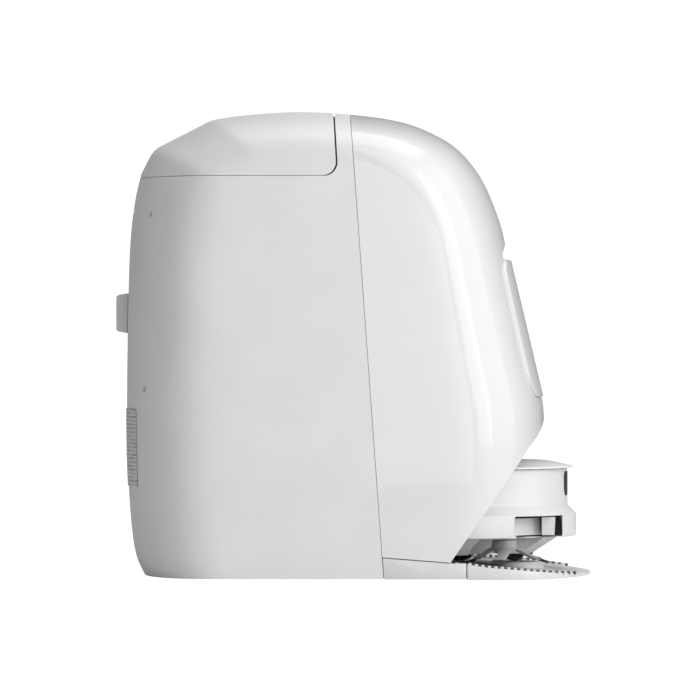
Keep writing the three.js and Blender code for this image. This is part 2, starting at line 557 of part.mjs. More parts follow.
const BLOWER = { forward: (PARTITION + CASE.back) / 2 + 1, radius: 29, z0: BAY_ROOF + INNER_WALL + GAP };
function suctionBlower() {
  const z = (CASE.bottom + CASE.top) / 2;
  const can = upright(0, BLOWER.forward, BLOWER.z0, z + 34, BLOWER.radius, 28);
  const collar = lengthwise(0, z, BLOWER.forward, CASE.back - GAP, 18, 20);
  const cap = upright(0, BLOWER.forward, z + 33, z + 46, BLOWER.radius - 9, 20);
  return join(can, collar, cap);
}

const DUCT = { x: 75, z: 70, radius: 11 };
/** The dust duct: from the bay's rear wall, round its corner, up the side and into the dust case. */
function ductForm(grow) {
  const wallX = BAY_HALF_WIDTH + INNER_WALL;
  const back = BAY_REAR - INNER_WALL;
  const side = wallX + DUCT.radius + 1.5;
  const rise = CASE.top - 24;
  const route = new THREE.CatmullRomCurve3([
    [DUCT.x, back - GAP, DUCT.z], [DUCT.x + 6, back - 13, DUCT.z + 2],
      [DUCT.x + 50, back - 17, DUCT.z + 10],
    [wallX - 14, back - 16, DUCT.z + 20], [wallX + 7.5, back - 10.5, DUCT.z + 28],
    [side, back + 14, DUCT.z + 38], [side, back + 80, DUCT.z + 58],
    [side, PARTITION - 18, BAY_ROOF + 6], [side, PARTITION + 12, BAY_ROOF + 34],
    [side - 16, PARTITION + 28, rise - 42], [side - 56, PARTITION + 33, rise - 8],
    [CASE.halfWidth - 26, CASE.back - 26, rise], [CASE.halfWidth - 26, CASE.back - GAP, rise],
  ].map(([x, forward, z]) => new THREE.Vector3(x, -forward, z)));
  const section = new THREE.Shape().absarc(0, 0, DUCT.radius + grow, 0, 2 * Math.PI);
  return solidOf(new THREE.ExtrudeGeometry(section, { extrudePath: route, steps: 28, curveSegments: 5 }));
}

const BELOW_CASE = BAY_ROOF + INNER_WALL + GAP;
const waterPump = (x) => join(
  lengthwise(x, BELOW_CASE + 12, FRONT - 120, FRONT - 72, 11.5, 18),
  box(x - 13, x + 13, FRONT - 72.5, FRONT - 50, BELOW_CASE, BELOW_CASE + 25));
const dryingFan = () => join(
  upright(-62, FRONT - 82, BELOW_CASE, BELOW_CASE + 24, 34, 24),
  box(-62 - 34, -62 - 8, FRONT - 82, FRONT - 40, BELOW_CASE, BELOW_CASE + 24));
const MAIN_BOARD = { halfWidth: 74, bottom: PANEL_TOP + 20, top: BODY_HEIGHT - 50 };
const mainBoard = () => join(
  box(-MAIN_BOARD.halfWidth, MAIN_BOARD.halfWidth, PARTITION + 8, PARTITION + 9.6, MAIN_BOARD.bottom,
    MAIN_BOARD.top),
  box(-60, -36, PARTITION + 9, PARTITION + 22, MAIN_BOARD.bottom + 10, MAIN_BOARD.bottom + 50),
  box(-20, 6, PARTITION + 9, PARTITION + 14, MAIN_BOARD.bottom + 20, MAIN_BOARD.bottom + 46),
  box(26, 60, PARTITION + 9, PARTITION + 18, MAIN_BOARD.bottom + 8, MAIN_BOARD.bottom + 24));
const powerSupply = () => box(-66, 66, PARTITION + 34, PARTITION + 76, PANEL_TOP + 22, PANEL_TOP + 60);

function powerInlet() {
  const block = box(INLET.x - INLET.halfWidth, INLET.x + INLET.halfWidth, REAR + 3, REAR + 22 + INLET.depth,
    INLET.z - INLET.halfHeight, INLET.z + INLET.halfHeight);
  const socket = box(INLET.x - INLET.halfWidth + 3, INLET.x + INLET.halfWidth - 3, -BIG,
    REAR + 19 + INLET.depth,
    INLET.z - INLET.halfHeight + 3, INLET.z + INLET.halfHeight - 3);
  return cut(block, socket).intersect(bodyForm(0.3));
}

function rearSpacer() {
  const draft = 2;
  const half = SPACER.halfWidth;
  const s = new THREE.Shape();
  s.moveTo(REAR + 2, SPACER.bottom).lineTo(REAR - SPACER_DEPTH + 2, SPACER.bottom + draft);
  s.lineTo(REAR - SPACER_DEPTH, SPACER.bottom + draft + 2).lineTo(REAR - SPACER_DEPTH,
    SPACER.top - draft - 2);
  s.lineTo(REAR - SPACER_DEPTH + 2, SPACER.top - draft).lineTo(REAR + 2, SPACER.top);
  return cut(across(s, -half, half), bodyForm(-GAP));
}

/** Forward distance of the rear shell's outer surface at (x, z). */
function rearSkin(x, z) {
  return -lengthwise(x, z, -BIG, SHRINK_CENTRE, 0.3, 6).intersect(shell).boundingBox().max[1];
}

function shellScrew(sign, z) {
  const seat = rearSkin(sign * FASTENER.x, z) + 1;
  return join(lengthwise(sign * FASTENER.x, z, seat, seat + 2, FASTENER.head, 12),
    lengthwise(sign * FASTENER.x, z, seat + 1, seat + 14, 1.5, 8));
}

function ratingLabel() {
  return cut(bodyForm(-GAP - LABEL.thickness), bodyForm(-GAP)).intersect(
    box(LABEL.x0, LABEL.x1, -BIG, REAR + 60, LABEL.z0, LABEL.z1));
}

// ---------------------------------------------------------------- the robot
const SKIRT = { bottom: PARKED_LIFT + 26, top: PARKED_LIFT + 50 }; // the bumper's widest band
const UPPER_RADIUS = ROBOT_RADIUS - 9; // the robot's side above that band
const DECK_RADIUS = ROBOT_RADIUS - 3; // top cover with its small overhang
const CHASSIS_Z = PARKED_LIFT + 9; // ground clearance
const BODY_TOP = ROBOT_TOP - 8;
const WHEEL = { x: ROBOT_RADIUS - 56, forward: ROBOT_CENTRE + 13, z: PARKED_LIFT + WHEEL_RADIUS };
const TURRET = { forward: ROBOT_CENTRE - 52, radius: 46, top: ROBOT_TOP + 13 };
/** A place at the robot's right front, an angle away from straight ahead. */
const nearRim = (inset, degrees) => {
  const angle = THREE.MathUtils.degToRad(degrees);
  const r = UPPER_RADIUS - inset;
  return { x: -r * Math.sin(angle), forward: ROBOT_CENTRE + r * Math.cos(angle) };
};
const ARM = nearRim(26.4, 26.6); // pivot of the side brush's arm
const HUB = nearRim(23.6, 45); // axis of the side brush
const ROLLER = {
  forward: HUB.forward - SIDE_BRUSH_RADIUS + 2, z: PARKED_LIFT + 18.5, radius: 18,
  halfLength: -HUB.x - SIDE_BRUSH_RADIUS + 10,
};
const BIN = {
  back: ROBOT_CENTRE - 2, front: ROBOT_CENTRE + 44, halfWidth: WHEEL.x - WHEEL_WIDTH / 2 - 22,
    bottom: CHASSIS_Z + 27,
};
const BUMPER_TRAVEL = 3;

/** The front part of the robot, ahead of a line across it, where the bumper is. */
const bumperZone = (shift) => box(-BIG, BIG, ROBOT_CENTRE + 6 + shift, BIG, 0, BIG);
/** The pocket in the bumper's lower right corner that the side brush's arm swings out of. */
const armZone = () => box(-BIG, ARM.x + 4, ARM.forward - 16, ARM.forward + 34, 0, SKIRT.top - 2.6);

/** Room for the arm inside the robot. */
const armRoom = () => box(-BIG, ARM.x + 18, HUB.forward - 18, ARM.forward + 36, PARKED_LIFT + 26,
  BRUSH_Z.arm + 20);

function bumper() {
  const band = turned([[UPPER_RADIUS - 3, BODY_TOP - 1], [UPPER_RADIUS - 3, SKIRT.bottom],
    [ROBOT_RADIUS, SKIRT.bottom], [ROBOT_RADIUS, SKIRT.top - 2], [UPPER_RADIUS + 0.6, SKIRT.top + 7],
    [UPPER_RADIUS, BODY_TOP - 1], [UPPER_RADIUS - 3, BODY_TOP - 1]], 0, ROBOT_CENTRE, 44);
  return cut(band.intersect(bumperZone(BUMPER_TRAVEL + GAP)), armZone(), windowZone(GAP));
}

function windowZone(grow) {
  const s = roundedRectangle(-48 - grow, ROBOT_TOP - 36 - grow, 48 + grow, ROBOT_TOP - 10.5 + grow, 8);
  const g = new THREE.ExtrudeGeometry(s, { depth: BIG, bevelEnabled: false, curveSegments: 3 });
  return solidOf(g.rotateX(Math.PI / 2).translate(0, -ROBOT_CENTRE, 0));
}

function sensorWindow() {
  const ring = turned([[UPPER_RADIUS - 3, BODY_TOP], [UPPER_RADIUS - 3, SKIRT.top],
    [UPPER_RADIUS + 0.4, SKIRT.top],
    [UPPER_RADIUS + 0.4, BODY_TOP], [UPPER_RADIUS - 3, BODY_TOP]], 0, ROBOT_CENTRE, 44);
  return ring.intersect(windowZone(0)).intersect(bumperZone(60));
}

function robotShell() {
  const inside = UPPER_RADIUS - 12;
  const wall = turned([[inside, BODY_TOP], [inside, CHASSIS_Z + 19], [UPPER_RADIUS - 3, CHASSIS_Z + 19],
    [UPPER_RADIUS, CHASSIS_Z + 26], [UPPER_RADIUS, BODY_TOP], [inside, BODY_TOP]], 0, ROBOT_CENTRE, 44);
  const clear = UPPER_RADIUS - 3 - BUMPER_TRAVEL - 1.5;
  const room = turned([[clear, BODY_TOP + 1], [clear, 0], [BIG, 0], [BIG, BODY_TOP + 1],
    [clear, BODY_TOP + 1]],
    0, ROBOT_CENTRE, 44).intersect(bumperZone(0));
  const insideRear = turned([[inside - 1, BODY_TOP + 1], [inside - 1, 0], [UPPER_RADIUS - 3, 0],
    [UPPER_RADIUS - 3,
    BODY_TOP + 1], [inside - 1, BODY_TOP + 1]], 0, ROBOT_CENTRE, 44);
  return cut(wall, room, insideRear.intersect(box(-BIG, BIG, -BIG, ROBOT_CENTRE - 4, 0, BIG)), armRoom());
}

function robotChassis() {
  const pan = turned([[0, CHASSIS_Z], [UPPER_RADIUS - 34, CHASSIS_Z], [UPPER_RADIUS - 10, CHASSIS_Z + 15.5],
    [UPPER_RADIUS - 10, CHASSIS_Z + 17], [UPPER_RADIUS - 13, CHASSIS_Z + 17],
      [UPPER_RADIUS - 36, CHASSIS_Z + 3],
    [0, CHASSIS_Z + 3]], 0, ROBOT_CENTRE, 40);
  const wells = [-1, 1].map((side) => box(side * WHEEL.x - WHEEL_WIDTH / 2 - 3,
    side * WHEEL.x + WHEEL_WIDTH / 2 + 3,
    WHEEL.forward - WHEEL_RADIUS - 3, WHEEL.forward + WHEEL_RADIUS + 3, 0, BIG));
  const throat = box(-ROLLER.halfLength - 3, ROLLER.halfLength + 3, ROLLER.forward - 20,
    ROLLER.forward + 20, 0, BIG);
  const mopHoles = [-1, 1].map((side) => upright(side * MOP.x, MOP.forward, 0, BIG, 9, 16));
  const casterHole = upright(0, CASTER.forward, 0, BIG, CASTER.disc + 1.5, 20);
  return cut(pan, ...wells, throat, ...mopHoles, casterHole, brushPocket());
}

/** The recess under the robot that the side brush turns in, wherever its arm stands. */
function brushPocket() {
  return upright(HUB.x - 4, HUB.forward + 9, 0, BIG, SIDE_BRUSH_RADIUS, 28);
}

function robotDeck() {
  const cover = turned([[0, ROBOT_TOP - 4], [UPPER_RADIUS - 16, ROBOT_TOP - 5.5],
    [UPPER_RADIUS - 14, BODY_TOP + GAP],
    [UPPER_RADIUS - 2, BODY_TOP + GAP], [DECK_RADIUS, ROBOT_TOP - 7], [DECK_RADIUS, ROBOT_TOP - 5.6],
    [UPPER_RADIUS - 16, ROBOT_TOP], [0, ROBOT_TOP]], 0, ROBOT_CENTRE, 44);
  return cut(cover, upright(0, TURRET.forward, 0, BIG, TURRET.radius + 1.2, 32));
}

function lidarTurret() {
  return turned([[0, BODY_TOP - 30], [TURRET.radius, BODY_TOP - 30], [TURRET.radius, ROBOT_TOP + 1],
    [TURRET.radius - 5, ROBOT_TOP + 3], [TURRET.radius - 5, ROBOT_TOP + 8],
      [TURRET.radius, ROBOT_TOP + 9.5],
    [TURRET.radius - 2, TURRET.top], [0, TURRET.top]], 0, TURRET.forward, 28);
}

function driveWheel(side) {
  const [x0, x1] = [side * WHEEL.x - WHEEL_WIDTH / 2, side * WHEEL.x + WHEEL_WIDTH / 2];
  const g = new THREE.LatheGeometry([[6, x0], [WHEEL_RADIUS - 2, x0], [WHEEL_RADIUS, x0 + 3],
    [WHEEL_RADIUS, x1 - 3],
    [WHEEL_RADIUS - 2, x1], [6, x1], [6, x0]].map(([r, x]) => new THREE.Vector2(r, x)), 24);
  return solidOf(g.rotateZ(-Math.PI / 2).translate(0, -WHEEL.forward, WHEEL.z));
}

function mainBrush() {
  const g = new THREE.ExtrudeGeometry(starShape(8, ROLLER.radius - 7, ROLLER.radius),
    { depth: 2 * ROLLER.halfLength - 10, bevelEnabled: false });
  const roller = solidOf(g.translate(0, 0, -ROLLER.halfLength + 5).rotateY(Math.PI / 2)
    .translate(0, -ROLLER.forward, ROLLER.z));
  return join(roller, axle(-ROLLER.halfLength, ROLLER.halfLength, ROLLER.forward, ROLLER.z, 5, 12));
}

/** A toothed round section: a core with ribs that stand out to the outer radius. */
function starShape(ribs, coreRadius, tipRadius) {
  const points = [];
  const ribHalf = 2.2 / tipRadius;
  for (let i = 0; i < ribs; i++) {
    const turn = (i * 2 * Math.PI) / ribs;
    const at = (angle, r) => points.push([r * Math.cos(angle), r * Math.sin(angle)]);
    at(turn - 2.4 * ribHalf, coreRadius);
    at(turn - ribHalf, tipRadius);
    at(turn + ribHalf, tipRadius);
    at(turn + 2.4 * ribHalf, coreRadius);
  }
  return outline(points);
}

const BRUSH_Z = { tip: PARKED_LIFT + 0.8, hub: PARKED_LIFT + 14, seat: PARKED_LIFT + 25,
  arm: PARKED_LIFT + 28 };
function sideBrushArm() {
  const length = Math.hypot(HUB.x - ARM.x, HUB.forward - ARM.forward);
  const turn = Math.atan2(-(HUB.forward - ARM.forward), HUB.x - ARM.x);
  const s = roundedRectangle(-13, -13, length + 13, 13, 12.9);
  const g = new THREE.ExtrudeGeometry(s, { depth: 18, bevelEnabled: false, curveSegments: 5 });
  const bar = solidOf(g.rotateZ(turn).translate(ARM.x, -ARM.forward, BRUSH_Z.arm));
  const nose = upright(HUB.x, HUB.forward, BRUSH_Z.seat, BRUSH_Z.arm + 1, 12, 18);
  const shaft = upright(HUB.x, HUB.forward, BRUSH_Z.hub, BRUSH_Z.seat, 3, 12);
  return join(bar, nose, shaft);
}

const BRUSH_ARMS = 3;
const BRUSH_TURN = 62; // degrees, where the first arm points at rest
function sideBrush() {
  const hub = cut(turned([[0, BRUSH_Z.hub - 4], [9, BRUSH_Z.hub - 4], [13, BRUSH_Z.hub + 2],
    [12, BRUSH_Z.seat - 1.5],
    [0, BRUSH_Z.seat - 1.5]], HUB.x, HUB.forward, 20),
  upright(HUB.x, HUB.forward, BRUSH_Z.hub - 1, BIG, 3.5, 12));
  const arms = Array.from({ length: BRUSH_ARMS }, (_, i) => {
    const s = outline([[8, BRUSH_Z.hub - 1], [8, BRUSH_Z.hub + 4], [20, BRUSH_Z.hub + 1],
      [SIDE_BRUSH_RADIUS - 2,
      BRUSH_Z.tip + 3.2], [SIDE_BRUSH_RADIUS, BRUSH_Z.tip], [SIDE_BRUSH_RADIUS - 8, BRUSH_Z.tip],
      [18, BRUSH_Z.hub - 4]]);
    const g = new THREE.ExtrudeGeometry(s, { depth: 6, bevelEnabled: false }).translate(0, 0, -3);
    g.rotateX(Math.PI / 2).rotateZ(THREE.MathUtils.degToRad(BRUSH_TURN + (i * 360) / BRUSH_ARMS));
    return solidOf(g.translate(HUB.x, -HUB.forward, 0));
  });
  return join(hub, ...arms);
}

function mop(side) {
  return join(upright(side * MOP.x, MOP.forward, PARKED_LIFT, MOP.top, MOP_RADIUS, 28, MOP_RADIUS - 3),
    upright(side * MOP.x, MOP.forward, MOP.top - 1, CHASSIS_Z + 12, 6, 16));
}

function casterFork() {
  const z = PARKED_LIFT + CASTER.radius;
  const head = upright(0, CASTER.forward, z - 5, z + CASTER.radius + 8, CASTER.disc, 24);
  const slot = box(-CASTER.width / 2 - 0.8, CASTER.width / 2 + 0.8, -BIG, BIG, 0, z + CASTER.radius + 1);
  const bore = axle(-CASTER.width / 2 - 4, CASTER.width / 2 + 4, CASTER.forward - CASTER.trail, z,
    PIN_RADIUS + PIN_CLEARANCE, 12);
  const stem = upright(0, CASTER.forward, z + CASTER.radius + 7, z + CASTER.radius + 22, 5, 14);
  return join(cut(head, slot, bore), stem);
}

function casterWheel() {
  const z = PARKED_LIFT + CASTER.radius;
  const forward = CASTER.forward - CASTER.trail;
  return join(axle(-CASTER.width / 2, CASTER.width / 2, forward, z, CASTER.radius, 20),
    axle(-CASTER.width / 2 - 3, CASTER.width / 2 + 3, forward, z, PIN_RADIUS, 12));
}

function dustbin() {
  const wall = 2;
  const [top, floor] = [BODY_TOP - 8, BIN.bottom];
  return cut(box(-BIN.halfWidth, BIN.halfWidth, BIN.back, BIN.front, floor, top),
    box(-BIN.halfWidth + wall, BIN.halfWidth - wall, BIN.back + wall, BIN.front - wall, floor + wall, BIG));
}

const battery = () => box(-36, 36, ROBOT_CENTRE - UPPER_RADIUS + 39, ROBOT_CENTRE - UPPER_RADIUS + 67,
  CHASSIS_Z + 5,
  CHASSIS_Z + 50);
const FAN_X = (TURRET.radius + WHEEL.x - WHEEL_WIDTH / 2) / 2;
const robotFan = () => join(upright(FAN_X, BIN.back - 30, CHASSIS_Z + 34, BODY_TOP - 12, 22, 24),
  box(FAN_X - 7, FAN_X + 7, BIN.back - 24, BIN.back - GAP, CHASSIS_Z + 36, BODY_TOP - 16));

// ---------------------------------------------------------------- materials
const finish = (color, roughness, metalness = 0) => new THREE.MeshStandardMaterial({ color, roughness,
  metalness });
const matteWhite = finish(0xdcdcda, 0.55);
const glossWhite = finish(0xe9e9ec, 0.12);
const innerGrey = finish(0x8f9295, 0.6);
const darkPlastic = finish(0x33363a, 0.45);
const rubber = finish(0x2b2c2e, 0.85);
const smokedTank = finish(0x9aa4ac, 0.15);
const blackGloss = finish(0x08090a, 0.08);
const brushGrey = finish(0x6d6e70, 0.6);
const steel = finish(0xb8babd, 0.3, 1);
const paper = finish(0xd8cfbc, 0.9);
const cloth = finish(0x9aa0a6, 0.95);
const boardGreen = finish(0x1f6b45, 0.5);
const labelGrey = finish(0xc4c5c6, 0.6);

// ---------------------------------------------------------------- assembly
const station = new THREE.Group();
function put(name, solid, material) {
  const mesh = new THREE.Mesh(geometryOf(solid), material);
  mesh.name = name;
  station.add(mesh);
}

put("rear_shell", rearShell(), matteWhite);
put("front_cover", frontCover(), glossWhite);
put("top_lid", topLid(), matteWhite);
put("lid_hinge_bracket", hingeBracket(), darkPlastic);
put("lid_hinge_pin", axle(-PIN_HALF_LENGTH + 1, PIN_HALF_LENGTH - 1, HINGE.forward, HINGE.z, PIN_RADIUS,
  12), steel);
put("front_panel", frontPanel(), glossWhite);
put("base_frame", baseFrame(), matteWhite);
put("wash_tray", washTray(), innerGrey);
put("ramp", ramp(), matteWhite);
for (const [name, x, forward] of FEET) put(`foot_${name}`, foot(x, forward), rubber);
put("bay_housing", bayHousing(), innerGrey);
put("inner_frame", innerFrame(), innerGrey);
for (const [side, sign] of [["left", -1], ["right", 1]]) {
  put(`charge_contact_${side}`, chargeContact(sign), steel);
  put(`drive_wheel_${side}`, driveWheel(sign), rubber);
  put(`mop_${side}`, mop(sign), cloth);
}
for (const [use, sign] of [["clean", -1], ["dirty", 1]]) {
  put(`${use}_tank`, tankBody(sign), smokedTank);
  put(`${use}_tank_cover`, tankCover(sign), darkPlastic);
  put(`${use}_tank_handle`, tankHandle(sign), matteWhite);
}
put("clean_fill_cap", fillCap(), darkPlastic);
put("dust_case", dustCase(), innerGrey);
put("dust_bag", dustBag(), paper);
put("bag_collar", bagCollar(), darkPlastic);
put("suction_blower", suctionBlower(), darkPlastic);
put("dust_duct", ductForm(0), darkPlastic);
put("clean_water_pump", waterPump(8), darkPlastic);
put("drain_pump", waterPump(60), darkPlastic);
put("drying_fan", dryingFan(), darkPlastic);
put("main_board", mainBoard(), boardGreen);
put("power_supply", powerSupply(), steel);
put("power_inlet", powerInlet(), darkPlastic);
put("rear_spacer", rearSpacer(), matteWhite);
put("rating_label", ratingLabel(), labelGrey);
for (const { side, sign, level, z } of sidesAndLevels) put(`shell_screw_${level}_${side}`,
  shellScrew(sign, z), steel);
put("robot_chassis", robotChassis(), darkPlastic);
put("robot_shell", robotShell(), matteWhite);
put("robot_deck", robotDeck(), matteWhite);
put("robot_bumper", bumper(), matteWhite);
put("sensor_window", sensorWindow(), blackGloss);
put("lidar_turret", lidarTurret(), darkPlastic);
put("main_brush", mainBrush(), brushGrey);
put("side_brush_arm", sideBrushArm(), matteWhite);
put("side_brush", sideBrush(), brushGrey);
put("caster_fork", casterFork(), darkPlastic);
put("caster_wheel", casterWheel(), rubber);
put("robot_dustbin", dustbin(), smokedTank);
put("robot_battery", battery(), darkPlastic);
put("robot_fan", robotFan(), darkPlastic);

export default station;
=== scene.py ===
import json
import math
import random
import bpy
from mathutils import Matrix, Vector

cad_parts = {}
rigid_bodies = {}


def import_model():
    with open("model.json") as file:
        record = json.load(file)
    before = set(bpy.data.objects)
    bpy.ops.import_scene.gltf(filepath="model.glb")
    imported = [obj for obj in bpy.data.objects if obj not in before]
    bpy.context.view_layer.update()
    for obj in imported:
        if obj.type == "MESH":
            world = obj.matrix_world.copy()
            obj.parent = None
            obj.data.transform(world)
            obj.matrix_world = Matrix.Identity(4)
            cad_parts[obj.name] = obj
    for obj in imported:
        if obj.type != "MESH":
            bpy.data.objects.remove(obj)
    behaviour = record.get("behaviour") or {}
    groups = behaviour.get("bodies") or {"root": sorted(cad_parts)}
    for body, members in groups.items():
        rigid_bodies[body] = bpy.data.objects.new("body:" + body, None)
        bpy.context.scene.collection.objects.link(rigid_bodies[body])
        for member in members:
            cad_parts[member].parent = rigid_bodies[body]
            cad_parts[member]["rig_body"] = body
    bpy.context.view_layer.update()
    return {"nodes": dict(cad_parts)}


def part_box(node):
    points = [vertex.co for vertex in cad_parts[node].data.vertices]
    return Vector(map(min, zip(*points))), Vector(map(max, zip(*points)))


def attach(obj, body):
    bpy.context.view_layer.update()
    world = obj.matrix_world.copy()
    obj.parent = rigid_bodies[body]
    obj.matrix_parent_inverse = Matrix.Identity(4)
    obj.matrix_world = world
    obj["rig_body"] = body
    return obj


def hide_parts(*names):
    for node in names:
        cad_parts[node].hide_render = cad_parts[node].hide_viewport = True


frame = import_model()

from types import SimpleNamespace

import bmesh
import bpy
from mathutils import Matrix, Vector, noise

# A self-emptying, mop-washing docking station with its round robot parked in it.
# Solids are made in millimetres with the CAD model's own measures. The front, where the robot drives out,
# faces -Y, and "forward" distances are measured towards it, so forward = -y.
MM = 0.001


def span(node):
    """The box of a CAD node, in millimetres."""
    lo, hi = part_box(node)
    return SimpleNamespace(
        left=lo.x / MM, right=hi.x / MM, back=-hi.y / MM, front=-lo.y / MM, low=lo.z / MM, top=hi.z / MM,
        x=(lo.x + hi.x) / 2 / MM, forward=-(lo.y + hi.y) / 2 / MM, z=(lo.z + hi.z) / 2 / MM)


# ---------------------------------------------------------------- solids on the workbench
WORKBENCH = []


def solid(bm):
    """A loose solid from a bmesh."""
    bmesh.ops.recalc_face_normals(bm, faces=bm.faces)
    mesh = bpy.data.meshes.new("solid")
    bm.to_mesh(mesh)
    bm.free()
    return on_workbench(mesh)


def on_workbench(mesh):
    """Puts a mesh aside as a hidden object, to be cut or joined later."""
    obj = bpy.data.objects.new("solid", mesh)
    bpy.context.scene.collection.objects.link(obj)
    obj.hide_render = True
    WORKBENCH.append(obj)
    return obj


def combined(first, tools, operation):
    """A new solid: the first one with the tools cut off, joined on or kept in common, one after another."""
    work = on_workbench(first.data.copy())
    for tool in tools:
        step = work.modifiers.new("step", "BOOLEAN")
        step.operation = operation
        step.solver = "MANIFOLD"
        step.object = tool
    done = bpy.data.meshes.new_from_object(work.evaluated_get(bpy.context.evaluated_depsgraph_get()))
    work.modifiers.clear()
    work.data = done
    return work


def cut(first, *tools):
    return combined(first, tools, "DIFFERENCE")


def join(first, *others):
    return combined(first, others, "UNION")


def common(first, *others):
    return combined(first, others, "INTERSECT")


def moved_verts(geom):
    return [g for g in geom if isinstance(g, bmesh.types.BMVert)]


def moved_edges(geom):
    return [g for g in geom if isinstance(g, bmesh.types.BMEdge)]


def prism(corners, step):
    """A flat outline swept in a straight line."""
    bm = bmesh.new()
    face = bm.faces.new([bm.verts.new(c) for c in corners])
    swept = bmesh.ops.extrude_face_region(bm, geom=[face])["geom"]
    bmesh.ops.translate(bm, vec=step, verts=moved_verts(swept))
    return solid(bm)


def across(outline, x0, x1):
    """A side-on outline of (forward, up) points, from x0 to x1."""
    return prism([(x0, -f, z) for f, z in outline], (x1 - x0, 0, 0))


def plate(outline, z0, z1):
    """A plan outline of (x, forward) points, from z0 to z1."""
    return prism([(x, -f, z0) for x, f in outline], (0, 0, z1 - z0))


def through(outline, back, front):
    """A front-on outline of (x, up) points, between two forward distances."""
    return prism([(x, -back, z) for x, z in outline], (0, back - front, 0))


def block(x0, x1, back, front, z0, z1):
    """A box between two places across, from back to front and from z0 to z1."""
    return across([(back, z0), (front, z0), (front, z1), (back, z1)], x0, x1)


def cylinder(place, axis, length, radius, end_radius=None, steps=48):
    """A cylinder or cone frustum whose middle is at place = (x, forward, z), along axis X, Y or Z."""
    bm = bmesh.new()
    end = radius if end_radius is None else end_radius
    bmesh.ops.create_cone(bm, cap_ends=True, segments=steps, radius1=radius, radius2=end, depth=length)
    turn = {"X": Matrix.Rotation(math.pi / 2, 3, "Y"), "Y": Matrix.Rotation(math.pi / 2, 3, "X"),
            "Z": Matrix.Identity(3)}[axis]
    bmesh.ops.rotate(bm, cent=(0, 0, 0), matrix=turn, verts=bm.verts)
    x, forward, z = place
    bmesh.ops.translate(bm, vec=(x, -forward, z), verts=bm.verts)
    return solid(bm)


def upright(x, forward, z0, z1, radius, top_radius=None, steps=48):
    """A cylinder that stands up."""
    return cylinder((x, forward, (z0 + z1) / 2), "Z", z1 - z0, radius, top_radius, steps)


def axle(x0, x1, forward, z, radius, steps=40):
    """A cylinder that lies across the station."""
    return cylinder(((x0 + x1) / 2, forward, z), "X", x1 - x0, radius, None, steps)


def lengthwise(x, z, back, front, radius, steps=40):
    """A cylinder that lies from back to front."""
    return cylinder((x, (back + front) / 2, z), "Y", front - back, radius, None, steps)


def spun(profile, steps, axis="Z"):
    """A bmesh turned about an axis through the origin, from a closed profile of (radius, place along)."""
    bm = bmesh.new()
    ring = [bm.verts.new((r, 0, along)) for r, along in profile]
    edges = [bm.edges.new((a, b)) for a, b in zip(ring, ring[1:] + ring[:1])]
    bmesh.ops.spin(bm, geom=ring + edges, cent=(0, 0, 0), axis=(0, 0, 1), angle=math.tau, steps=steps,
                   use_merge=True, use_duplicate=False)
    bmesh.ops.remove_doubles(bm, verts=bm.verts, dist=1e-3)
    loose = [f for f in bm.faces if f.calc_area() < 1e-9]
    bmesh.ops.delete(bm, geom=loose, context="FACES")
    if axis == "X":
        bmesh.ops.rotate(bm, cent=(0, 0, 0), matrix=Matrix.Rotation(math.pi / 2, 3, "Y"), verts=bm.verts)
    return bm


def turned(profile, x, forward, steps=144):
    """A turned solid about an upright axis at (x, forward)."""
    bm = spun(profile, steps)
    bmesh.ops.translate(bm, vec=(x, -forward, 0), verts=bm.verts)
    return solid(bm)


def small_box(middle, size, bevel=0.0):
    """A small box; with a bevel its upper edges are softened."""
    bm = bmesh.new()
    bmesh.ops.create_cube(bm, size=1)
    bmesh.ops.scale(bm, vec=size, verts=bm.verts)
    if bevel:
        up = [e for e in bm.edges if all(v.co.z > 0 for v in e.verts)]
        bmesh.ops.bevel(bm, geom=up, offset=bevel, offset_type="OFFSET", segments=2, profile=0.5,
                        affect="EDGES", material=-1)
    bmesh.ops.translate(bm, vec=middle, verts=bm.verts)
    return bm


def gathered(parts):
    """Several small closed meshes in one."""
    whole = bmesh.new()
    for part in parts:
        mesh = bpy.data.meshes.new("part")
        part.to_mesh(mesh)
        part.free()
        whole.from_mesh(mesh)
        bpy.data.meshes.remove(mesh)
    return whole


# ---------------------------------------------------------------- outlines
def rounded(corners, radius, steps=6):
    """The outline through these corners, with each corner rounded to its radius."""
    radii = radius if isinstance(radius, (list, tuple)) else [radius] * len(corners)
    points = []
    for i, (corner, r) in enumerate(zip(corners, radii)):
        here, before, after = Vector(corner), Vector(corners[i - 1]), Vector(corners[(i + 1) % len(corners)])
        if r <= 0:
            points.append(tuple(here))
            continue
        to_before, to_after = (before - here).normalized(), (after - here).normalized()
        half = to_before.angle(to_after) / 2
        centre = here + (to_before + to_after).normalized() * (r / math.sin(half))
        start = here + to_before * (r / math.tan(half)) - centre
        end = here + to_after * (r / math.tan(half)) - centre
        for k in range(steps + 1):
            ray = start.slerp(end, k / steps) if start.angle(end) > 1e-4 else start
            points.append(tuple(centre + ray.normalized() * r))
    return points


def rectangle(x0, y0, x1, y1, radius=0.0, steps=8):
    """The corners of a rectangle, rounded if asked."""
    return rounded([(x0, y0), (x1, y0), (x1, y1), (x0, y1)], radius, steps)


def quadratic(start, pull, end, steps=12):
    """Points of a quadratic curve, without its start."""
    a, b, c = Vector(start), Vector(pull), Vector(end)
    shares = [k / steps for k in range(1, steps + 1)]
    return [tuple(a * (1 - t) ** 2 + b * 2 * t * (1 - t) + c * t * t) for t in shares]


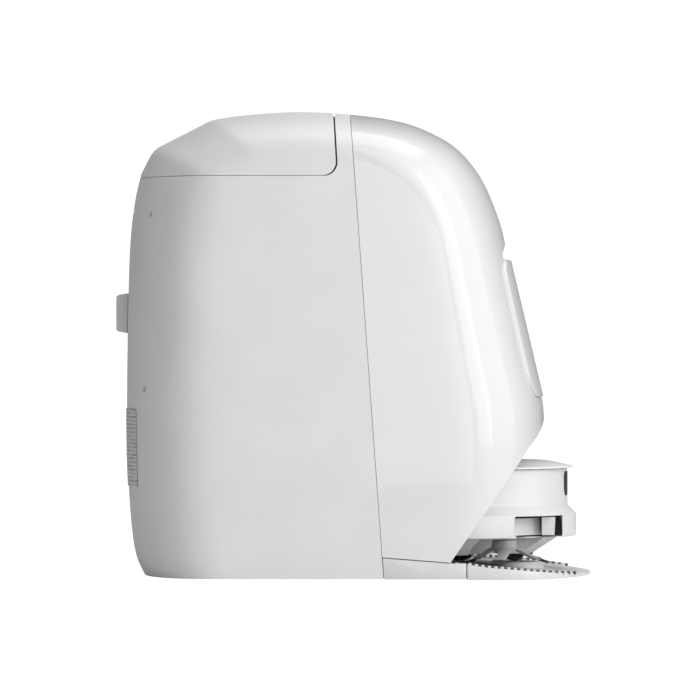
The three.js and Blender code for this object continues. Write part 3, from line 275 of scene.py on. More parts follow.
def curve_through(points, steps):
    """Points of a smooth curve through the given ones, without the last one."""
    ends = [points[0], *points, points[-1]]
    made = []
    for a, b, c, d in zip(ends, ends[1:], ends[2:], ends[3:]):
        a, b, c, d = Vector(a), Vector(b), Vector(c), Vector(d)
        v0, v1 = (c - a) / 2, (d - b) / 2
        for k in range(steps):
            t = k / steps
            cubic, square = 2 * b - 2 * c + v0 + v1, 3 * c - 3 * b - 2 * v0 - v1
            made.append(cubic * t ** 3 + square * t ** 2 + v0 * t + b)
    return made


# ---------------------------------------------------------------- the housing's outer form
SHELL, LID, BUMPER, DECK = span("rear_shell"), span("top_lid"), span("robot_bumper"), span("robot_deck")
HEIGHT, DEPTH, HALF_WIDTH = LID.top, 416.0, SHELL.right
REAR = SHELL.back
FRONT = REAR + DEPTH
WALL, INNER_WALL, GAP, SEAM = 3.0, 2.5, 0.4, 0.9
BIG = 600.0

# The middle silhouette from the rear foot, over the crown, to the front foot, as shares of depth and height.
REAR_WALL = [(0.043, 0), (0.021, 0.046), (0.0085, 0.129), (0.001, 0.26), (0, 0.436), (0.006, 0.69),
             (0.018, 0.802), (0.034, 0.867)]
LID_FACET = [(0.062, 0.9185), (0.203, 0.9835)]
CROWN = [(0.27, 0.9925), (0.37, 0.9995), (0.45, 1), (0.534, 0.995), (0.629, 0.984), (0.708, 0.9635),
         (0.788, 0.9225), (0.848, 0.857), (0.888, 0.774), (0.905, 0.718)]
FRONT_FOOT = [(0.996, 0.37), (1, 0.32), (1, 0)]
SHRINK_DEPTH, SHRINK_HEIGHT = 0.493, 0.105
SHRINK_CENTRE = REAR + 0.488 * DEPTH
ROUNDNESS = 2.8
CURVE_STEPS, RING_STEPS = 7, 30


def silhouette():
    """The station's outline from the side: rear wall, facet, crown and front."""
    at = lambda share: Vector((REAR + share[0] * DEPTH, share[1] * HEIGHT))
    rear = curve_through([at(s) for s in REAR_WALL], CURVE_STEPS)
    low, high = [at(s) for s in LID_FACET]
    crown = curve_through([high] + [at(s) for s in CROWN], CURVE_STEPS)
    facet = [Vector(p) for p in rounded([rear[-1], low, high, crown[3]], [0, 26, 0, 0], 8)[1:-2]]
    soft_high = [Vector(p) for p in rounded([low, high, crown[4]], [0, 34, 0], 8)[1:-1]]
    steps = [facet[-1].lerp(soft_high[0], k / 6) for k in range(1, 6)]
    front = [at(CROWN[-1]).lerp(at(FRONT_FOOT[0]), k / 14) for k in range(15)]
    foot = [at(FRONT_FOOT[1]).lerp(at(FRONT_FOOT[2]), k / 6) for k in range(7)]
    return rear + [at(REAR_WALL[-1])] + facet + steps + soft_high + crown[4:] + front + foot


def moved_in(points, inset):
    """The outline moved inwards. Its two feet go below the floor, so a hollow made with it is open there."""
    if not inset:
        return points
    moved = []
    for i, p in enumerate(points):
        along = (points[min(i + 1, len(points) - 1)] - points[max(i - 1, 0)]).normalized()
        moved.append(Vector((p.x + along.y * inset, p.y - along.x * inset)))
    for foot in (moved[0], moved[-1]):
        foot.y = -1.0 if inset > 0 else 0.0
    return moved


def body_form(inset=0.0):
    """The station's outer form, moved in by inset: rings that shrink from the silhouette to the flat side."""
    bm = bmesh.new()
    ring = [bm.verts.new((0, -p.x, p.y)) for p in moved_in(silhouette(), inset)]
    edges = [bm.edges.new((a, b)) for a, b in zip(ring, ring[1:] + ring[:1])]
    centre = Matrix.Translation((0, SHRINK_CENTRE, 0))
    x_before, depth_before, height_before = 0.0, 1.0, 1.0
    for k in range(1, RING_STEPS + 1):
        angle = math.pi / 2 * k / RING_STEPS
        share = 1 - max(math.cos(angle), 0) ** (2 / ROUNDNESS) if k < RING_STEPS else 1.0
        x = (HALF_WIDTH - inset) * math.sin(angle) ** (2 / ROUNDNESS)
        depth, height = 1 - SHRINK_DEPTH * share, 1 - SHRINK_HEIGHT * share
        grown = bmesh.ops.extrude_edge_only(bm, edges=edges)["geom"]
        verts, edges = moved_verts(grown), moved_edges(grown)
        bmesh.ops.translate(bm, vec=(x - x_before, 0, 0), verts=verts)
        bmesh.ops.scale(bm, vec=(1, depth / depth_before, height / height_before), space=centre, verts=verts)
        x_before, depth_before, height_before = x, depth, height
    bmesh.ops.contextual_create(bm, geom=edges)
    bmesh.ops.mirror(bm, geom=bm.verts[:] + bm.edges[:] + bm.faces[:], axis="X", merge_dist=1e-3)
    bmesh.ops.remove_doubles(bm, verts=bm.verts, dist=1e-3)
    return solid(bm)


def edge_at(z, front):
    """Forward distance of the silhouette's front or rear at height z."""
    points = silhouette()
    crown = max(range(len(points)), key=lambda i: points[i].y)
    side = points[crown:] if front else points[crown::-1]
    i = next(i for i, p in enumerate(side) if p.y < z)
    a, b = side[i - 1], side[i]
    return a.x + (b.x - a.x) * (z - a.y) / (b.y - a.y)


OUTER, INNER, CORE = body_form(), body_form(WALL), body_form(WALL + 1)
HOUSING = cut(OUTER, INNER)

SEAM_FOOT, SEAM_LEAN = FRONT - 161, 0.072
LID_SEAM_Z = HEIGHT - 67
LID_FRONT = SEAM_FOOT - SEAM_LEAN * LID_SEAM_Z - 17
LID_CORNER = 13
MOUTH_FOOT, MOUTH_SLOPE, MOUTH_TOP = (FRONT - 97, 16.4), 0.7, 128
HINGE = SimpleNamespace(forward=span("lid_hinge_pin").forward, z=span("lid_hinge_pin").z)
TONGUE_HALF, TONGUE_REACH, TONGUE_ROOM = 72, 7, 11
PANEL = span("front_panel")
PANEL_HALF, PANEL_CORNER, PANEL_PROUD, PANEL_THICKNESS, PANEL_REST = 141, 24, 2, 5.6, 4.4
CASE = span("dust_case")
BASE_TOP_REAR, RUBBER = 21.5, 2.0


def ahead_of_seam(shift):
    """Everything in front of the seam between rear shell and front cover, which leans back as it rises."""
    foot = SEAM_FOOT + shift
    return across([(foot, -5), (BIG, -5), (BIG, BIG), (foot - SEAM_LEAN * (BIG + 5), BIG)], -BIG, BIG)


def lid_zone(grow, front_grow=None):
    """Everything above the lid's seam and behind its front, grown or shrunk."""
    z0, front = LID_SEAM_Z - grow, LID_FRONT + (grow if front_grow is None else front_grow)
    outline = rounded([(-BIG, z0), (front, z0), (front - 5, HEIGHT + 20), (-BIG, HEIGHT + 20)],
                      [0, LID_CORNER, 0, 0], 12)
    return across(outline, -BIG, BIG)


def mouth(shift=0.0):
    """The open, slanted mouth of the robot bay."""
    at = lambda z: MOUTH_FOOT[0] + MOUTH_SLOPE * (z - MOUTH_FOOT[1]) - shift
    bend = quadratic((at(MOUTH_TOP), MOUTH_TOP), (FRONT - shift, MOUTH_TOP + 20),
                     (FRONT + 1 - shift, MOUTH_TOP + 40))
    outline = [(at(-20), -20), (at(MOUTH_TOP), MOUTH_TOP), *bend, (BIG, MOUTH_TOP + 40), (BIG, -20)]
    return across(outline, -BIG, BIG)


def tongue_zone(grow, below):
    """The strip at the rear that the lid's tongue fills, down to below the hinge."""
    return block(-TONGUE_HALF - grow, TONGUE_HALF + grow, -BIG, REAR + 60, HINGE.z - below, LID_SEAM_Z + 4)


def panel_zone(grow, back=None):
    """What lies behind the front panel's outline, as far back as asked."""
    outline = rectangle(-PANEL_HALF - grow, PANEL.low - grow, PANEL_HALF + grow, PANEL.top + grow,
                        PANEL_CORNER, 12)
    return through(outline, FRONT - 110 if back is None else back, BIG)


SCOOP_TOP, SCOOP_DEPTH, SCOOP_HALF = PANEL.top + 18, 13, PANEL_HALF - 16


def scoop_zone(grow):
    """The hollow above the panel that a finger reaches into."""
    lip = edge_at(SCOOP_TOP, True)
    outline = [(lip - grow, SCOOP_TOP + grow), (lip - 5 - grow, PANEL.top + 4),
               (lip - SCOOP_DEPTH - grow, PANEL.top - 1), (BIG, PANEL.top - 1), (BIG, SCOOP_TOP + grow)]
    return across(outline, -SCOOP_HALF - grow, SCOOP_HALF + grow)


def base_strip(grow):
    """The strip of the base that shows under the front cover's sides."""
    return across([(-BIG, -5), (BIG, -5), (BIG, MOUTH_FOOT[1] + grow), (MOUTH_FOOT[0], MOUTH_FOOT[1] + grow),
                   (SEAM_FOOT, BASE_TOP_REAR + grow), (-BIG, BASE_TOP_REAR + grow)], -BIG, BIG)


# ---------------------------------------------------------------- finishes
def node_tree(name):
    """A new material with its nodes."""
    material = bpy.data.materials.new(name)
    material.use_nodes = True
    tree = material.node_tree
    return material, tree, tree.nodes["Principled BSDF"]


def link(tree, a, out, b, into):
    tree.links.new(a.outputs[out], b.inputs[into])


def coordinates(tree):
    return tree.nodes.new("ShaderNodeTexCoord")


def noise_at(tree, coords, size_mm, detail=3.0, roughness=0.5, stretch=(1, 1, 1)):
    """Cloudy noise whose blobs are about size_mm across."""
    mapping = tree.nodes.new("ShaderNodeMapping")
    mapping.inputs["Scale"].default_value = stretch
    texture = tree.nodes.new("ShaderNodeTexNoise")
    texture.inputs["Scale"].default_value = 1 / (size_mm * MM)
    texture.inputs["Detail"].default_value = detail
    texture.inputs["Roughness"].default_value = roughness
    link(tree, coords, "Object", mapping, "Vector")
    link(tree, mapping, "Vector", texture, "Vector")
    return texture


def mixed(tree, share, low, high, out=0):
    """A colour between low and high by a node's output."""
    mix = tree.nodes.new("ShaderNodeMix")
    mix.data_type = "RGBA"
    mix.inputs["A"].default_value = (*low, 1)
    mix.inputs["B"].default_value = (*high, 1)
    tree.links.new(share.outputs[out], mix.inputs["Factor"])
    return mix


def ranged(tree, source, low, high, from_low=0.3, from_high=0.7, out=0):
    """Moves a value from one range into another."""
    node = tree.nodes.new("ShaderNodeMapRange")
    for socket, value in (("From Min", from_low), ("From Max", from_high), ("To Min", low), ("To Max", high)):
        node.inputs[socket].default_value = value
    tree.links.new(source.outputs[out], node.inputs["Value"])
    return node


def bumped(tree, shader, source, height_mm, strength=1.0, out=0, after=None):
    """Adds a fine relief to a surface, on top of an earlier one if there is one."""
    bump = tree.nodes.new("ShaderNodeBump")
    bump.inputs["Distance"].default_value = height_mm * MM
    bump.inputs["Strength"].default_value = strength
    tree.links.new(source.outputs[out], bump.inputs["Height"])
    if after:
        link(tree, after, "Normal", bump, "Normal")
    link(tree, bump, "Normal", shader, "Normal")
    return bump


def shade(colour, factor):
    return tuple(c * factor for c in colour)


def moulded(name, colour, roughness, grain_mm=0.5, grain_height=0.03, cloud=0.03, coat=0.0, metallic=0.0,
            spread=0.06, specular=0.5):
    """A moulded or painted surface: faint cloudy colour, uneven sheen and a fine grain."""
    material, tree, shader = node_tree(name)
    coords = coordinates(tree)
    clouds = noise_at(tree, coords, 55, 4)
    tone = mixed(tree, ranged(tree, clouds, 0, 1), shade(colour, 1 - cloud), shade(colour, 1 + cloud / 2))
    link(tree, tone, "Result", shader, "Base Color")
    smears = noise_at(tree, coords, 18, 5, 0.6)
    link(tree, ranged(tree, smears, roughness - spread, roughness + spread), "Result", shader, "Roughness")
    bumped(tree, shader, noise_at(tree, coords, grain_mm, 2), grain_height)
    shader.inputs["Metallic"].default_value = metallic
    shader.inputs["Coat Weight"].default_value = coat
    shader.inputs["Coat Roughness"].default_value = 0.04
    shader.inputs["Specular IOR Level"].default_value = specular
    return material


def brushed_steel(name):
    """Bare metal with fine streaks along it."""
    material, tree, shader = node_tree(name)
    coords = coordinates(tree)
    streaks = noise_at(tree, coords, 1.6, 3, 0.6, (1, 1, 9))
    tone = mixed(tree, ranged(tree, streaks, 0, 1), (0.42, 0.43, 0.44), (0.66, 0.67, 0.68))
    link(tree, tone, "Result", shader, "Base Color")
    link(tree, ranged(tree, streaks, 0.22, 0.42), "Result", shader, "Roughness")
    bumped(tree, shader, streaks, 0.02)
    shader.inputs["Metallic"].default_value = 1.0
    return material


def smoked_plastic(name, colour):
    """Tinted clear plastic with faint flow lines."""
    material, tree, shader = node_tree(name)
    coords = coordinates(tree)
    flow = noise_at(tree, coords, 40, 3, 0.5, (1, 1, 0.4))
    tone = mixed(tree, ranged(tree, flow, 0, 1), shade(colour, 0.9), colour)
    link(tree, tone, "Result", shader, "Base Color")
    link(tree, ranged(tree, flow, 0.05, 0.14), "Result", shader, "Roughness")
    bumped(tree, shader, flow, 0.1)
    shader.inputs["Transmission Weight"].default_value = 0.82
    shader.inputs["IOR"].default_value = 1.49
    return material


def microfibre(name, colour):
    """Looped pile: small tufts, with painted shade darkening the ground between them."""
    material, tree, shader = node_tree(name)
    coords = coordinates(tree)
    tufts = tree.nodes.new("ShaderNodeTexVoronoi")
    tufts.inputs["Scale"].default_value = 1 / (1.7 * MM)
    link(tree, coords, "Object", tufts, "Vector")
    # The ground between the tufts is darkened to 0.45 of the colour: painted shade in the hollows of the
    # pile.
    tone = mixed(tree, ranged(tree, tufts, 1, 0, 0.0, 0.6), shade(colour, 0.45), colour)
    link(tree, tone, "Result", shader, "Base Color")
    shader.inputs["Roughness"].default_value = 0.95
    shader.inputs["Sheen Weight"].default_value = 0.5
    pile = bumped(tree, shader, tufts, -0.9, 0.9)
    bumped(tree, shader, noise_at(tree, coords, 0.4, 2), 0.2, 1.0, after=pile)
    return material


def bonded_fibre(name, colour):
    """Non-woven bag paper: pressed dots and long stray fibres."""
    material, tree, shader = node_tree(name)
    coords = coordinates(tree)
    fibres = noise_at(tree, coords, 2.2, 6, 0.75, (1, 1, 0.25))
    tone = mixed(tree, ranged(tree, fibres, 0, 1), shade(colour, 0.86), shade(colour, 1.04))
    link(tree, tone, "Result", shader, "Base Color")
    shader.inputs["Roughness"].default_value = 0.93
    shader.inputs["Sheen Weight"].default_value = 0.25
    dots = tree.nodes.new("ShaderNodeTexVoronoi")
    dots.inputs["Scale"].default_value = 1 / (2.6 * MM)
    dots.inputs["Randomness"].default_value = 0.15
    link(tree, coords, "Object", dots, "Vector")
    pressed = bumped(tree, shader, ranged(tree, dots, 0, 1, 0.12, 0.3), 0.25, 0.8)
    bumped(tree, shader, fibres, 0.15, 1.0, after=pressed)
    return material


def circuit_board(name):
    """Green solder mask over a grid of copper tracks."""
    material, tree, shader = node_tree(name)
    coords = coordinates(tree)
    tracks = tree.nodes.new("ShaderNodeTexBrick")
    tracks.inputs["Scale"].default_value = 120
    tracks.inputs["Color1"].default_value = (0.012, 0.15, 0.07, 1)
    tracks.inputs["Color2"].default_value = (0.016, 0.19, 0.09, 1)
    tracks.inputs["Mortar"].default_value = (0.05, 0.32, 0.16, 1)
    tracks.inputs["Mortar Size"].default_value = 0.035
    turn = tree.nodes.new("ShaderNodeMapping")
    turn.inputs["Rotation"].default_value = (math.pi / 2, 0, 0)
    link(tree, coords, "Object", turn, "Vector")
    link(tree, turn, "Vector", tracks, "Vector")
    link(tree, tracks, "Color", shader, "Base Color")
    bumped(tree, shader, tracks, 0.12, 1.0, "Fac")
    shader.inputs["Roughness"].default_value = 0.35
    return material


def label_film(name):
    """A satin label: rows of plain bars of uneven length, with no lettering."""
    material, tree, shader = node_tree(name)
    coords = coordinates(tree)
    bars = tree.nodes.new("ShaderNodeTexBrick")
    bars.inputs["Scale"].default_value = 100
    bars.inputs["Color1"].default_value = (0.26, 0.265, 0.27, 1)
    bars.inputs["Color2"].default_value = (0.55, 0.555, 0.56, 1)
    bars.inputs["Mortar"].default_value = (0.66, 0.66, 0.665, 1)
    bars.inputs["Mortar Size"].default_value = 0.1
    bars.inputs["Brick Width"].default_value = 2.3
    bars.inputs["Row Height"].default_value = 0.37
    bars.offset_frequency = 3
    turn = tree.nodes.new("ShaderNodeMapping")
    turn.inputs["Rotation"].default_value = (math.pi / 2, 0, 0)
    link(tree, coords, "Object", turn, "Vector")
    link(tree, turn, "Vector", bars, "Vector")
    link(tree, bars, "Color", shader, "Base Color")
    smears = noise_at(tree, coords, 6, 3)
    link(tree, ranged(tree, smears, 0.35, 0.5), "Result", shader, "Roughness")
    return material


WHITE = (0.70, 0.70, 0.70)
MATTE_WHITE = moulded("Matte white shell", (0.73, 0.73, 0.73), 0.5, 0.45, 0.018)
RAMP_WHITE = moulded("Ramp white", shade(WHITE, 0.98), 0.55, 0.6, 0.03)
GLOSS_WHITE = moulded("Gloss white cover", (0.72, 0.72, 0.735), 0.34, 26, 0.02, 0.012, 0.55,
                      spread=0.03, specular=0.35)
ROBOT_WHITE = moulded("Robot white", (0.74, 0.74, 0.74), 0.4, 0.5, 0.012)
# A lighter white than the rest of the robot, for its top cover and turret cap: painted light that makes up
# for the shade the station's overhang casts on the parked robot's top.
SHADE_LIFTED_WHITE = moulded("Robot top white lifted for shade", (0.86, 0.86, 0.865), 0.42, 20, 0.03, 0.015, 0.15, spread=0.04)
INNER_GREY = moulded("Inner grey", (0.50, 0.505, 0.51), 0.55, 0.7, 0.05, 0.05)
DARK_PLASTIC = moulded("Dark plastic", (0.035, 0.037, 0.04), 0.45, 0.7, 0.06, 0.08)
CHASSIS_GREY = moulded("Chassis grey", (0.72, 0.725, 0.73), 0.5, 0.7, 0.05, 0.05)
RUBBER_BLACK = moulded("Rubber", (0.022, 0.022, 0.023), 0.75, 0.9, 0.08, 0.1, spread=0.1)
TYRE_RUBBER = moulded("Tyre rubber", (0.03, 0.03, 0.031), 0.8, 1.2, 0.1, 0.15, spread=0.1)
BLACK_GLASS = moulded("Black sensor window", (0.003, 0.003, 0.0035), 0.22, 30, 0.02, 0.2,
                      spread=0.03, specular=0.08)
HANDLE_WHITE = moulded("Handle white", shade(WHITE, 0.95), 0.35, 0.6, 0.02)
BRUSH_GREY = moulded("Brush grey", (0.36, 0.362, 0.366), 0.6, 0.8, 0.05, 0.08)
# Near-black grey for the strips between the ramp's ribs: painted shade standing in for the gaps between them.
GAP_SHADE_GREY = moulded("Gap shade grey", (0.07, 0.071, 0.073), 0.7, 0.8, 0.05, 0.08)
BRISTLE = moulded("Bristles", (0.05, 0.05, 0.052), 0.7, 0.3, 0.05, 0.3)
STEEL = brushed_steel("Brushed steel")
BLACK_STEEL = moulded("Blackened steel", (0.02, 0.02, 0.021), 0.5, 0.6, 0.03, 0.1, metallic=0.6)
SMOKED = smoked_plastic("Smoked clear plastic", (0.50, 0.55, 0.60))
CLOTH = microfibre("Microfibre", (0.42, 0.44, 0.47))
BAG_PAPER = bonded_fibre("Bag paper", (0.62, 0.58, 0.50))
BOARD = circuit_board("Circuit board")
LABEL = label_film("Label film")


# ---------------------------------------------------------------- finishing a solid into a piece
def broken_edges(bm, width, angle):
    """Takes the sharpness off every edge that turns by more than angle."""
    sharp = [e for e in bm.edges if e.is_manifold and e.calc_face_angle(0) > math.radians(angle)]
    bmesh.ops.bevel(bm, geom=sharp, offset=width, offset_type="OFFSET", segments=2, profile=0.5,
                    affect="EDGES", material=-1, clamp_overlap=False)


def piece(name, body, material, source, replaces=(), bevel=0.0, sharp=32.0, weld=0.0):
    """Makes a solid, or a bmesh in millimetres, into a finished piece that rides on its body."""
    if isinstance(source, bmesh.types.BMesh):
        bm = source
    else:
        bm = bmesh.new()
        bm.from_mesh(source.data)
    if weld:
        bmesh.ops.remove_doubles(bm, verts=bm.verts, dist=weld)
        bmesh.ops.dissolve_degenerate(bm, dist=weld / 2, edges=bm.edges)
    if bevel:
        broken_edges(bm, bevel, 40)
    bmesh.ops.scale(bm, vec=(MM, MM, MM), verts=bm.verts)
    for face in bm.faces:
        face.smooth = True
    for edge in bm.edges:
        edge.smooth = edge.calc_face_angle(0) < math.radians(sharp)
    mesh = bpy.data.meshes.new(name)
    bm.to_mesh(mesh)
    bm.free()
    mesh.materials.append(material)
    obj = bpy.data.objects.new(name, mesh)
    bpy.context.scene.collection.objects.link(obj)
    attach(obj, body)
    if replaces:
        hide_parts(*([replaces] if isinstance(replaces, str) else replaces))
    return obj


def from_cad(node):
    """A merged copy of a CAD node's mesh, in millimetres."""
    bm = bmesh.new()
    bm.from_mesh(frame["nodes"][node].data)
    bmesh.ops.remove_doubles(bm, verts=bm.verts, dist=2e-6)
    bmesh.ops.scale(bm, vec=(1 / MM,) * 3, verts=bm.verts)
    bmesh.ops.dissolve_limit(bm, angle_limit=math.radians(0.6), verts=bm.verts, edges=bm.edges)
    return bm


def rider(node):
    """The body that a node of the assembly rides with."""
    return frame["nodes"][node]["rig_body"]


# ---------------------------------------------------------------- station: shells
FINE_SEAM, OPEN_SEAM = 0.24, 0.8  # half of the thin joints, and of the open one at the lid's front
HINGE_BORE = axle(-BIG, BIG, HINGE.forward, HINGE.z, 2.35, 24)
HINGE_BOSSES = ((76, 88), (-88, -76))
SCREW_X, SCREW_HOLE = HALF_WIDTH - 50, 3.6
SCREW_LEVELS = (HEIGHT * 0.403, HEIGHT * 0.773)
VENT_HALF, VENT_LOW, VENT_TOP, VENT_REACH, VENT_PITCH = 1.1, 30, 62, 60, 8
FLOOR_CLEARANCE = 0.9


def rear_shell():
    """The rear shell: hinge bosses, screw holes, mains inlet and vents; open where the lid's tongue goes."""
    bosses = []
    for x0, x1 in HINGE_BOSSES:
        boss = block(x0, x1, HINGE.forward - 30, HINGE.forward + 5, HINGE.z - 16, HINGE.z + 6)
        bosses.append(cut(common(boss, OUTER), HINGE_BORE))
    behind = cut(HOUSING, ahead_of_seam(-FINE_SEAM), lid_zone(FINE_SEAM, OPEN_SEAM))
    floor_rim = block(-BIG, BIG, -BIG, BIG, -10, FLOOR_CLEARANCE)
    holes = [lengthwise(sign * SCREW_X, z, -BIG, REAR + 60, SCREW_HOLE, 32)
             for sign in (-1, 1) for z in SCREW_LEVELS]
    inlet = span("power_inlet")
    inlet_hole = block(inlet.left - GAP, inlet.right + GAP, -BIG, REAR + 40, inlet.low - GAP, inlet.top + GAP)
    slots = [rectangle(x - VENT_HALF, VENT_LOW, x + VENT_HALF, VENT_TOP, VENT_HALF, 4)
             for x in range(-VENT_REACH, VENT_REACH + 1, VENT_PITCH)]
    vents = [through(slot, -BIG, REAR + 40) for slot in slots]
    made = cut(join(behind, *bosses), tongue_zone(SEAM, TONGUE_ROOM), floor_rim, inlet_hole, *holes, *vents)
    piece("rear_shell", "station", MATTE_WHITE, made, "rear_shell")


def seam_gaskets():
    """Strips behind the open seams: a black gasket round the lid, a grey joint behind the cover's seam."""
    backing = cut(body_form(WALL + 0.3), body_form(WALL + 1.6))
    lid_strip = common(cut(lid_zone(4), lid_zone(-2.6)), block(-BIG, BIG, LID_FRONT - 20, BIG, 0, BIG))
    piece("lid_gasket", "station", RUBBER_BLACK, common(backing, lid_strip))
    cover_strip = common(cut(ahead_of_seam(-3), ahead_of_seam(2.5)), block(-BIG, BIG, -BIG, BIG, 24, BIG))
    piece("cover_joint", "station", INNER_GREY, cut(common(backing, cover_strip), lid_strip))


def top_lid():
    """The lid with its tongue, which reaches down to the hinge."""
    zone = join(lid_zone(-FINE_SEAM, -OPEN_SEAM), tongue_zone(0, TONGUE_REACH))
    piece("top_lid", "lid", MATTE_WHITE, common(HOUSING, zone), "top_lid")


def front_cover():
    """The front cover, with a recess and a rim behind the panel, a finger scoop, and the bay's mouth."""
    skin = common(HOUSING, ahead_of_seam(FINE_SEAM))
    lined = body_form(PANEL_REST + INNER_WALL)
    recess = common(cut(body_form(PANEL_REST), lined), panel_zone(6))
    rim = cut(common(OUTER, cut(panel_zone(3.2), panel_zone(0.7))), lined)
    scoop = common(cut(scoop_zone(INNER_WALL), scoop_zone(0)), OUTER, ahead_of_seam(20))
    opened = cut(skin, panel_zone(0.7), scoop_zone(0))
    made = join(opened, recess, rim, scoop)
    case_hole = block(CASE.left + 4, CASE.right - 4, CASE.back + 4, BIG, CASE.low + 4, CASE.top - 4)
    ahead = join(scoop_zone(0), common(panel_zone(0.7), cut(body_form(-30), body_form(PANEL_REST))))
    made = cut(made, mouth(), case_hole, base_strip(SEAM / 2), ahead)
    piece("front_cover", "station", GLOSS_WHITE, made, "front_cover")


def front_panel():
    """The pull-off panel, which stands a little proud of the cover."""
    skin = cut(body_form(-PANEL_PROUD), body_form(PANEL_THICKNESS - PANEL_PROUD))
    made = common(skin, panel_zone(0))
    piece("front_panel", "panel", GLOSS_WHITE, made, "front_panel", bevel=0.9, weld=0.4)


def rear_spacer():
    """The spacer on the rear wall, fitted to its curve."""
    box = span("rear_spacer")
    back, low, top, draft = box.back, box.low, box.top, 2
    outline = rounded([(REAR + 2, low), (back + 2, low + draft), (back, low + draft + 2),
                       (back, top - draft - 2), (back + 2, top - draft), (REAR + 2, top)],
                      [0, 1.5, 1.5, 1.5, 1.5, 0], 5)
    made = cut(across(outline, box.left, box.right), body_form(-GAP))
    piece("rear_spacer", "station", MATTE_WHITE, made, "rear_spacer", bevel=1.0)


def rating_label():
    """The thin plate of the label, fitted to the rear wall."""
    box = span("rating_label")
    plan = through(rectangle(box.left, box.low, box.right, box.top, 4, 6), -BIG, REAR + 60)
    made = common(cut(body_form(-GAP - 0.5), body_form(-GAP)), plan)
    piece("rating_label", "station", LABEL, made, "rating_label")


def shell_screws():
    """The four screws that hold the rear shell, heads to the rear."""
    for side, sign in (("left", -1), ("right", 1)):
        for level in ("lower", "upper"):
            node = f"shell_screw_{level}_{side}"
            box = span(node)
            head = spun([(0, 0), (2.2, 0), (2.9, 0.6), (2.9, 2), (1.5, 2), (1.5, 14.8), (0.8, 15.9), (0, 16)],
                        32)
            lay_down = Matrix.Rotation(math.pi / 2, 3, "X")
            bmesh.ops.rotate(head, cent=(0, 0, 0), matrix=lay_down, verts=head.verts)
            bmesh.ops.translate(head, vec=(box.x, -box.back, box.z), verts=head.verts)
            cross = [block(box.x - a, box.x + a, box.back - 1, box.back + 1.1, box.z - b, box.z + b)
                     for a, b in ((2, 0.4), (0.4, 2))]
            piece(node, "station", BLACK_STEEL, cut(solid(head), join(*cross)), node)


# ---------------------------------------------------------------- station: base, tray and ramp
SKIRT_EDGE = 0.7  # the base's thin lower edge stands this far off the floor
ROBOT_CENTRE = DECK.forward
ROBOT_RADIUS = BUMPER.front - ROBOT_CENTRE
ROBOT_TOP = DECK.top
PARKED_LIFT = span("drive_wheel_left").low
FLOOR_SURFACE = PARKED_LIFT - GAP
BASE_FRONT = ROBOT_CENTRE + 61
RAIL_WIDTH = 16
RAMP = span("ramp")
TRAY = span("wash_tray")
BAY = span("bay_housing")
BAY_REAR = BAY.back + INNER_WALL


def tray_zone(grow):
    """The room that the wash tray takes up in the base."""
    return plate(rectangle(TRAY.left - grow, TRAY.back - grow, TRAY.right + grow, TRAY.front + grow, 30, 12),
                 TRAY.low - grow, 60)


def base_frame():
    """The base: an inner floor and the strip that is seen below the cover, with room for the tray."""
    inside = common(CORE, block(-BIG, BIG, REAR + 4, SEAM_FOOT + 14, RUBBER, BASE_TOP_REAR - 2))
    visible = common(OUTER, ahead_of_seam(SEAM / 2), base_strip(-SEAM / 2),
                     block(-BIG, BIG, -BIG, BASE_FRONT - SEAM / 2, SKIRT_EDGE, BASE_TOP_REAR))
    visible = cut(visible, common(CORE, block(-BIG, BIG, -BIG, BASE_FRONT - 6, 0, RUBBER)))
    lane = block(-HALF_WIDTH + RAIL_WIDTH, HALF_WIDTH - RAIL_WIDTH, BAY_REAR - 8, BIG, FLOOR_SURFACE - 2, 60)
    behind = block(-BIG, BIG, -BIG, BAY_REAR - 8, FLOOR_SURFACE, 60)
    made = cut(join(inside, visible), lane, behind, tray_zone(GAP))
    piece("base_frame", "station", RAMP_WHITE, made, "base_frame", weld=0.2, bevel=0.35)


def wash_tray():
    """A drip tray with two round basins, each with scrubbing ribs."""
    slab = common(tray_zone(0), block(-BIG, BIG, -BIG, BIG, 0, FLOOR_SURFACE))
    radius, made, ribs = span("mop_left").right - span("mop_left").x + 4, slab, []
    for node in ("mop_left", "mop_right"):
        mop = span(node)
        made = cut(made, upright(mop.x, mop.forward, FLOOR_SURFACE - 4, 60, radius, steps=96))
        for turn in range(0, 180, 30):
            bm = small_box((0, 0, 0), (2 * radius - 6, 3.2, 3.8))
            spoke = Matrix.Rotation(math.radians(turn), 3, "Z")
            bmesh.ops.rotate(bm, cent=(0, 0, 0), matrix=spoke, verts=bm.verts)
            bmesh.ops.translate(bm, vec=(mop.x, -mop.forward, FLOOR_SURFACE - 2.2), verts=bm.verts)
            ribs.append(solid(bm))
    piece("wash_tray", "station", INNER_GREY, join(made, *ribs), "wash_tray", bevel=0.5)


RIM = [(0, 15), (0.165, 11.8), (0.425, 9.2), (0.693, 5.8), (1, 2.4)]
LANE_MOUTH = 0.6  # the lane's open width at the tip, as a share of the ramp's
TOOTH_PITCH, TOOTH_WIDTH, TOOTH_RISE = 6.3, 3.1, 1.7
TEETH_BACK, TEETH_SHORT = 22, 11  # how far the teeth start behind the ramp's joint and end short of its tip
TOOTH_INSET = 13


def rim_height(forward):
    """The height of the ramp's rim at a place along it."""
    reach = (forward - BASE_FRONT) / (RAMP.front - BASE_FRONT)
    for (a, za), (b, zb) in zip(RIM, RIM[1:]):
        if reach <= b:
            return za + (zb - za) * (reach - a) / (b - a)
    return RIM[-1][1]


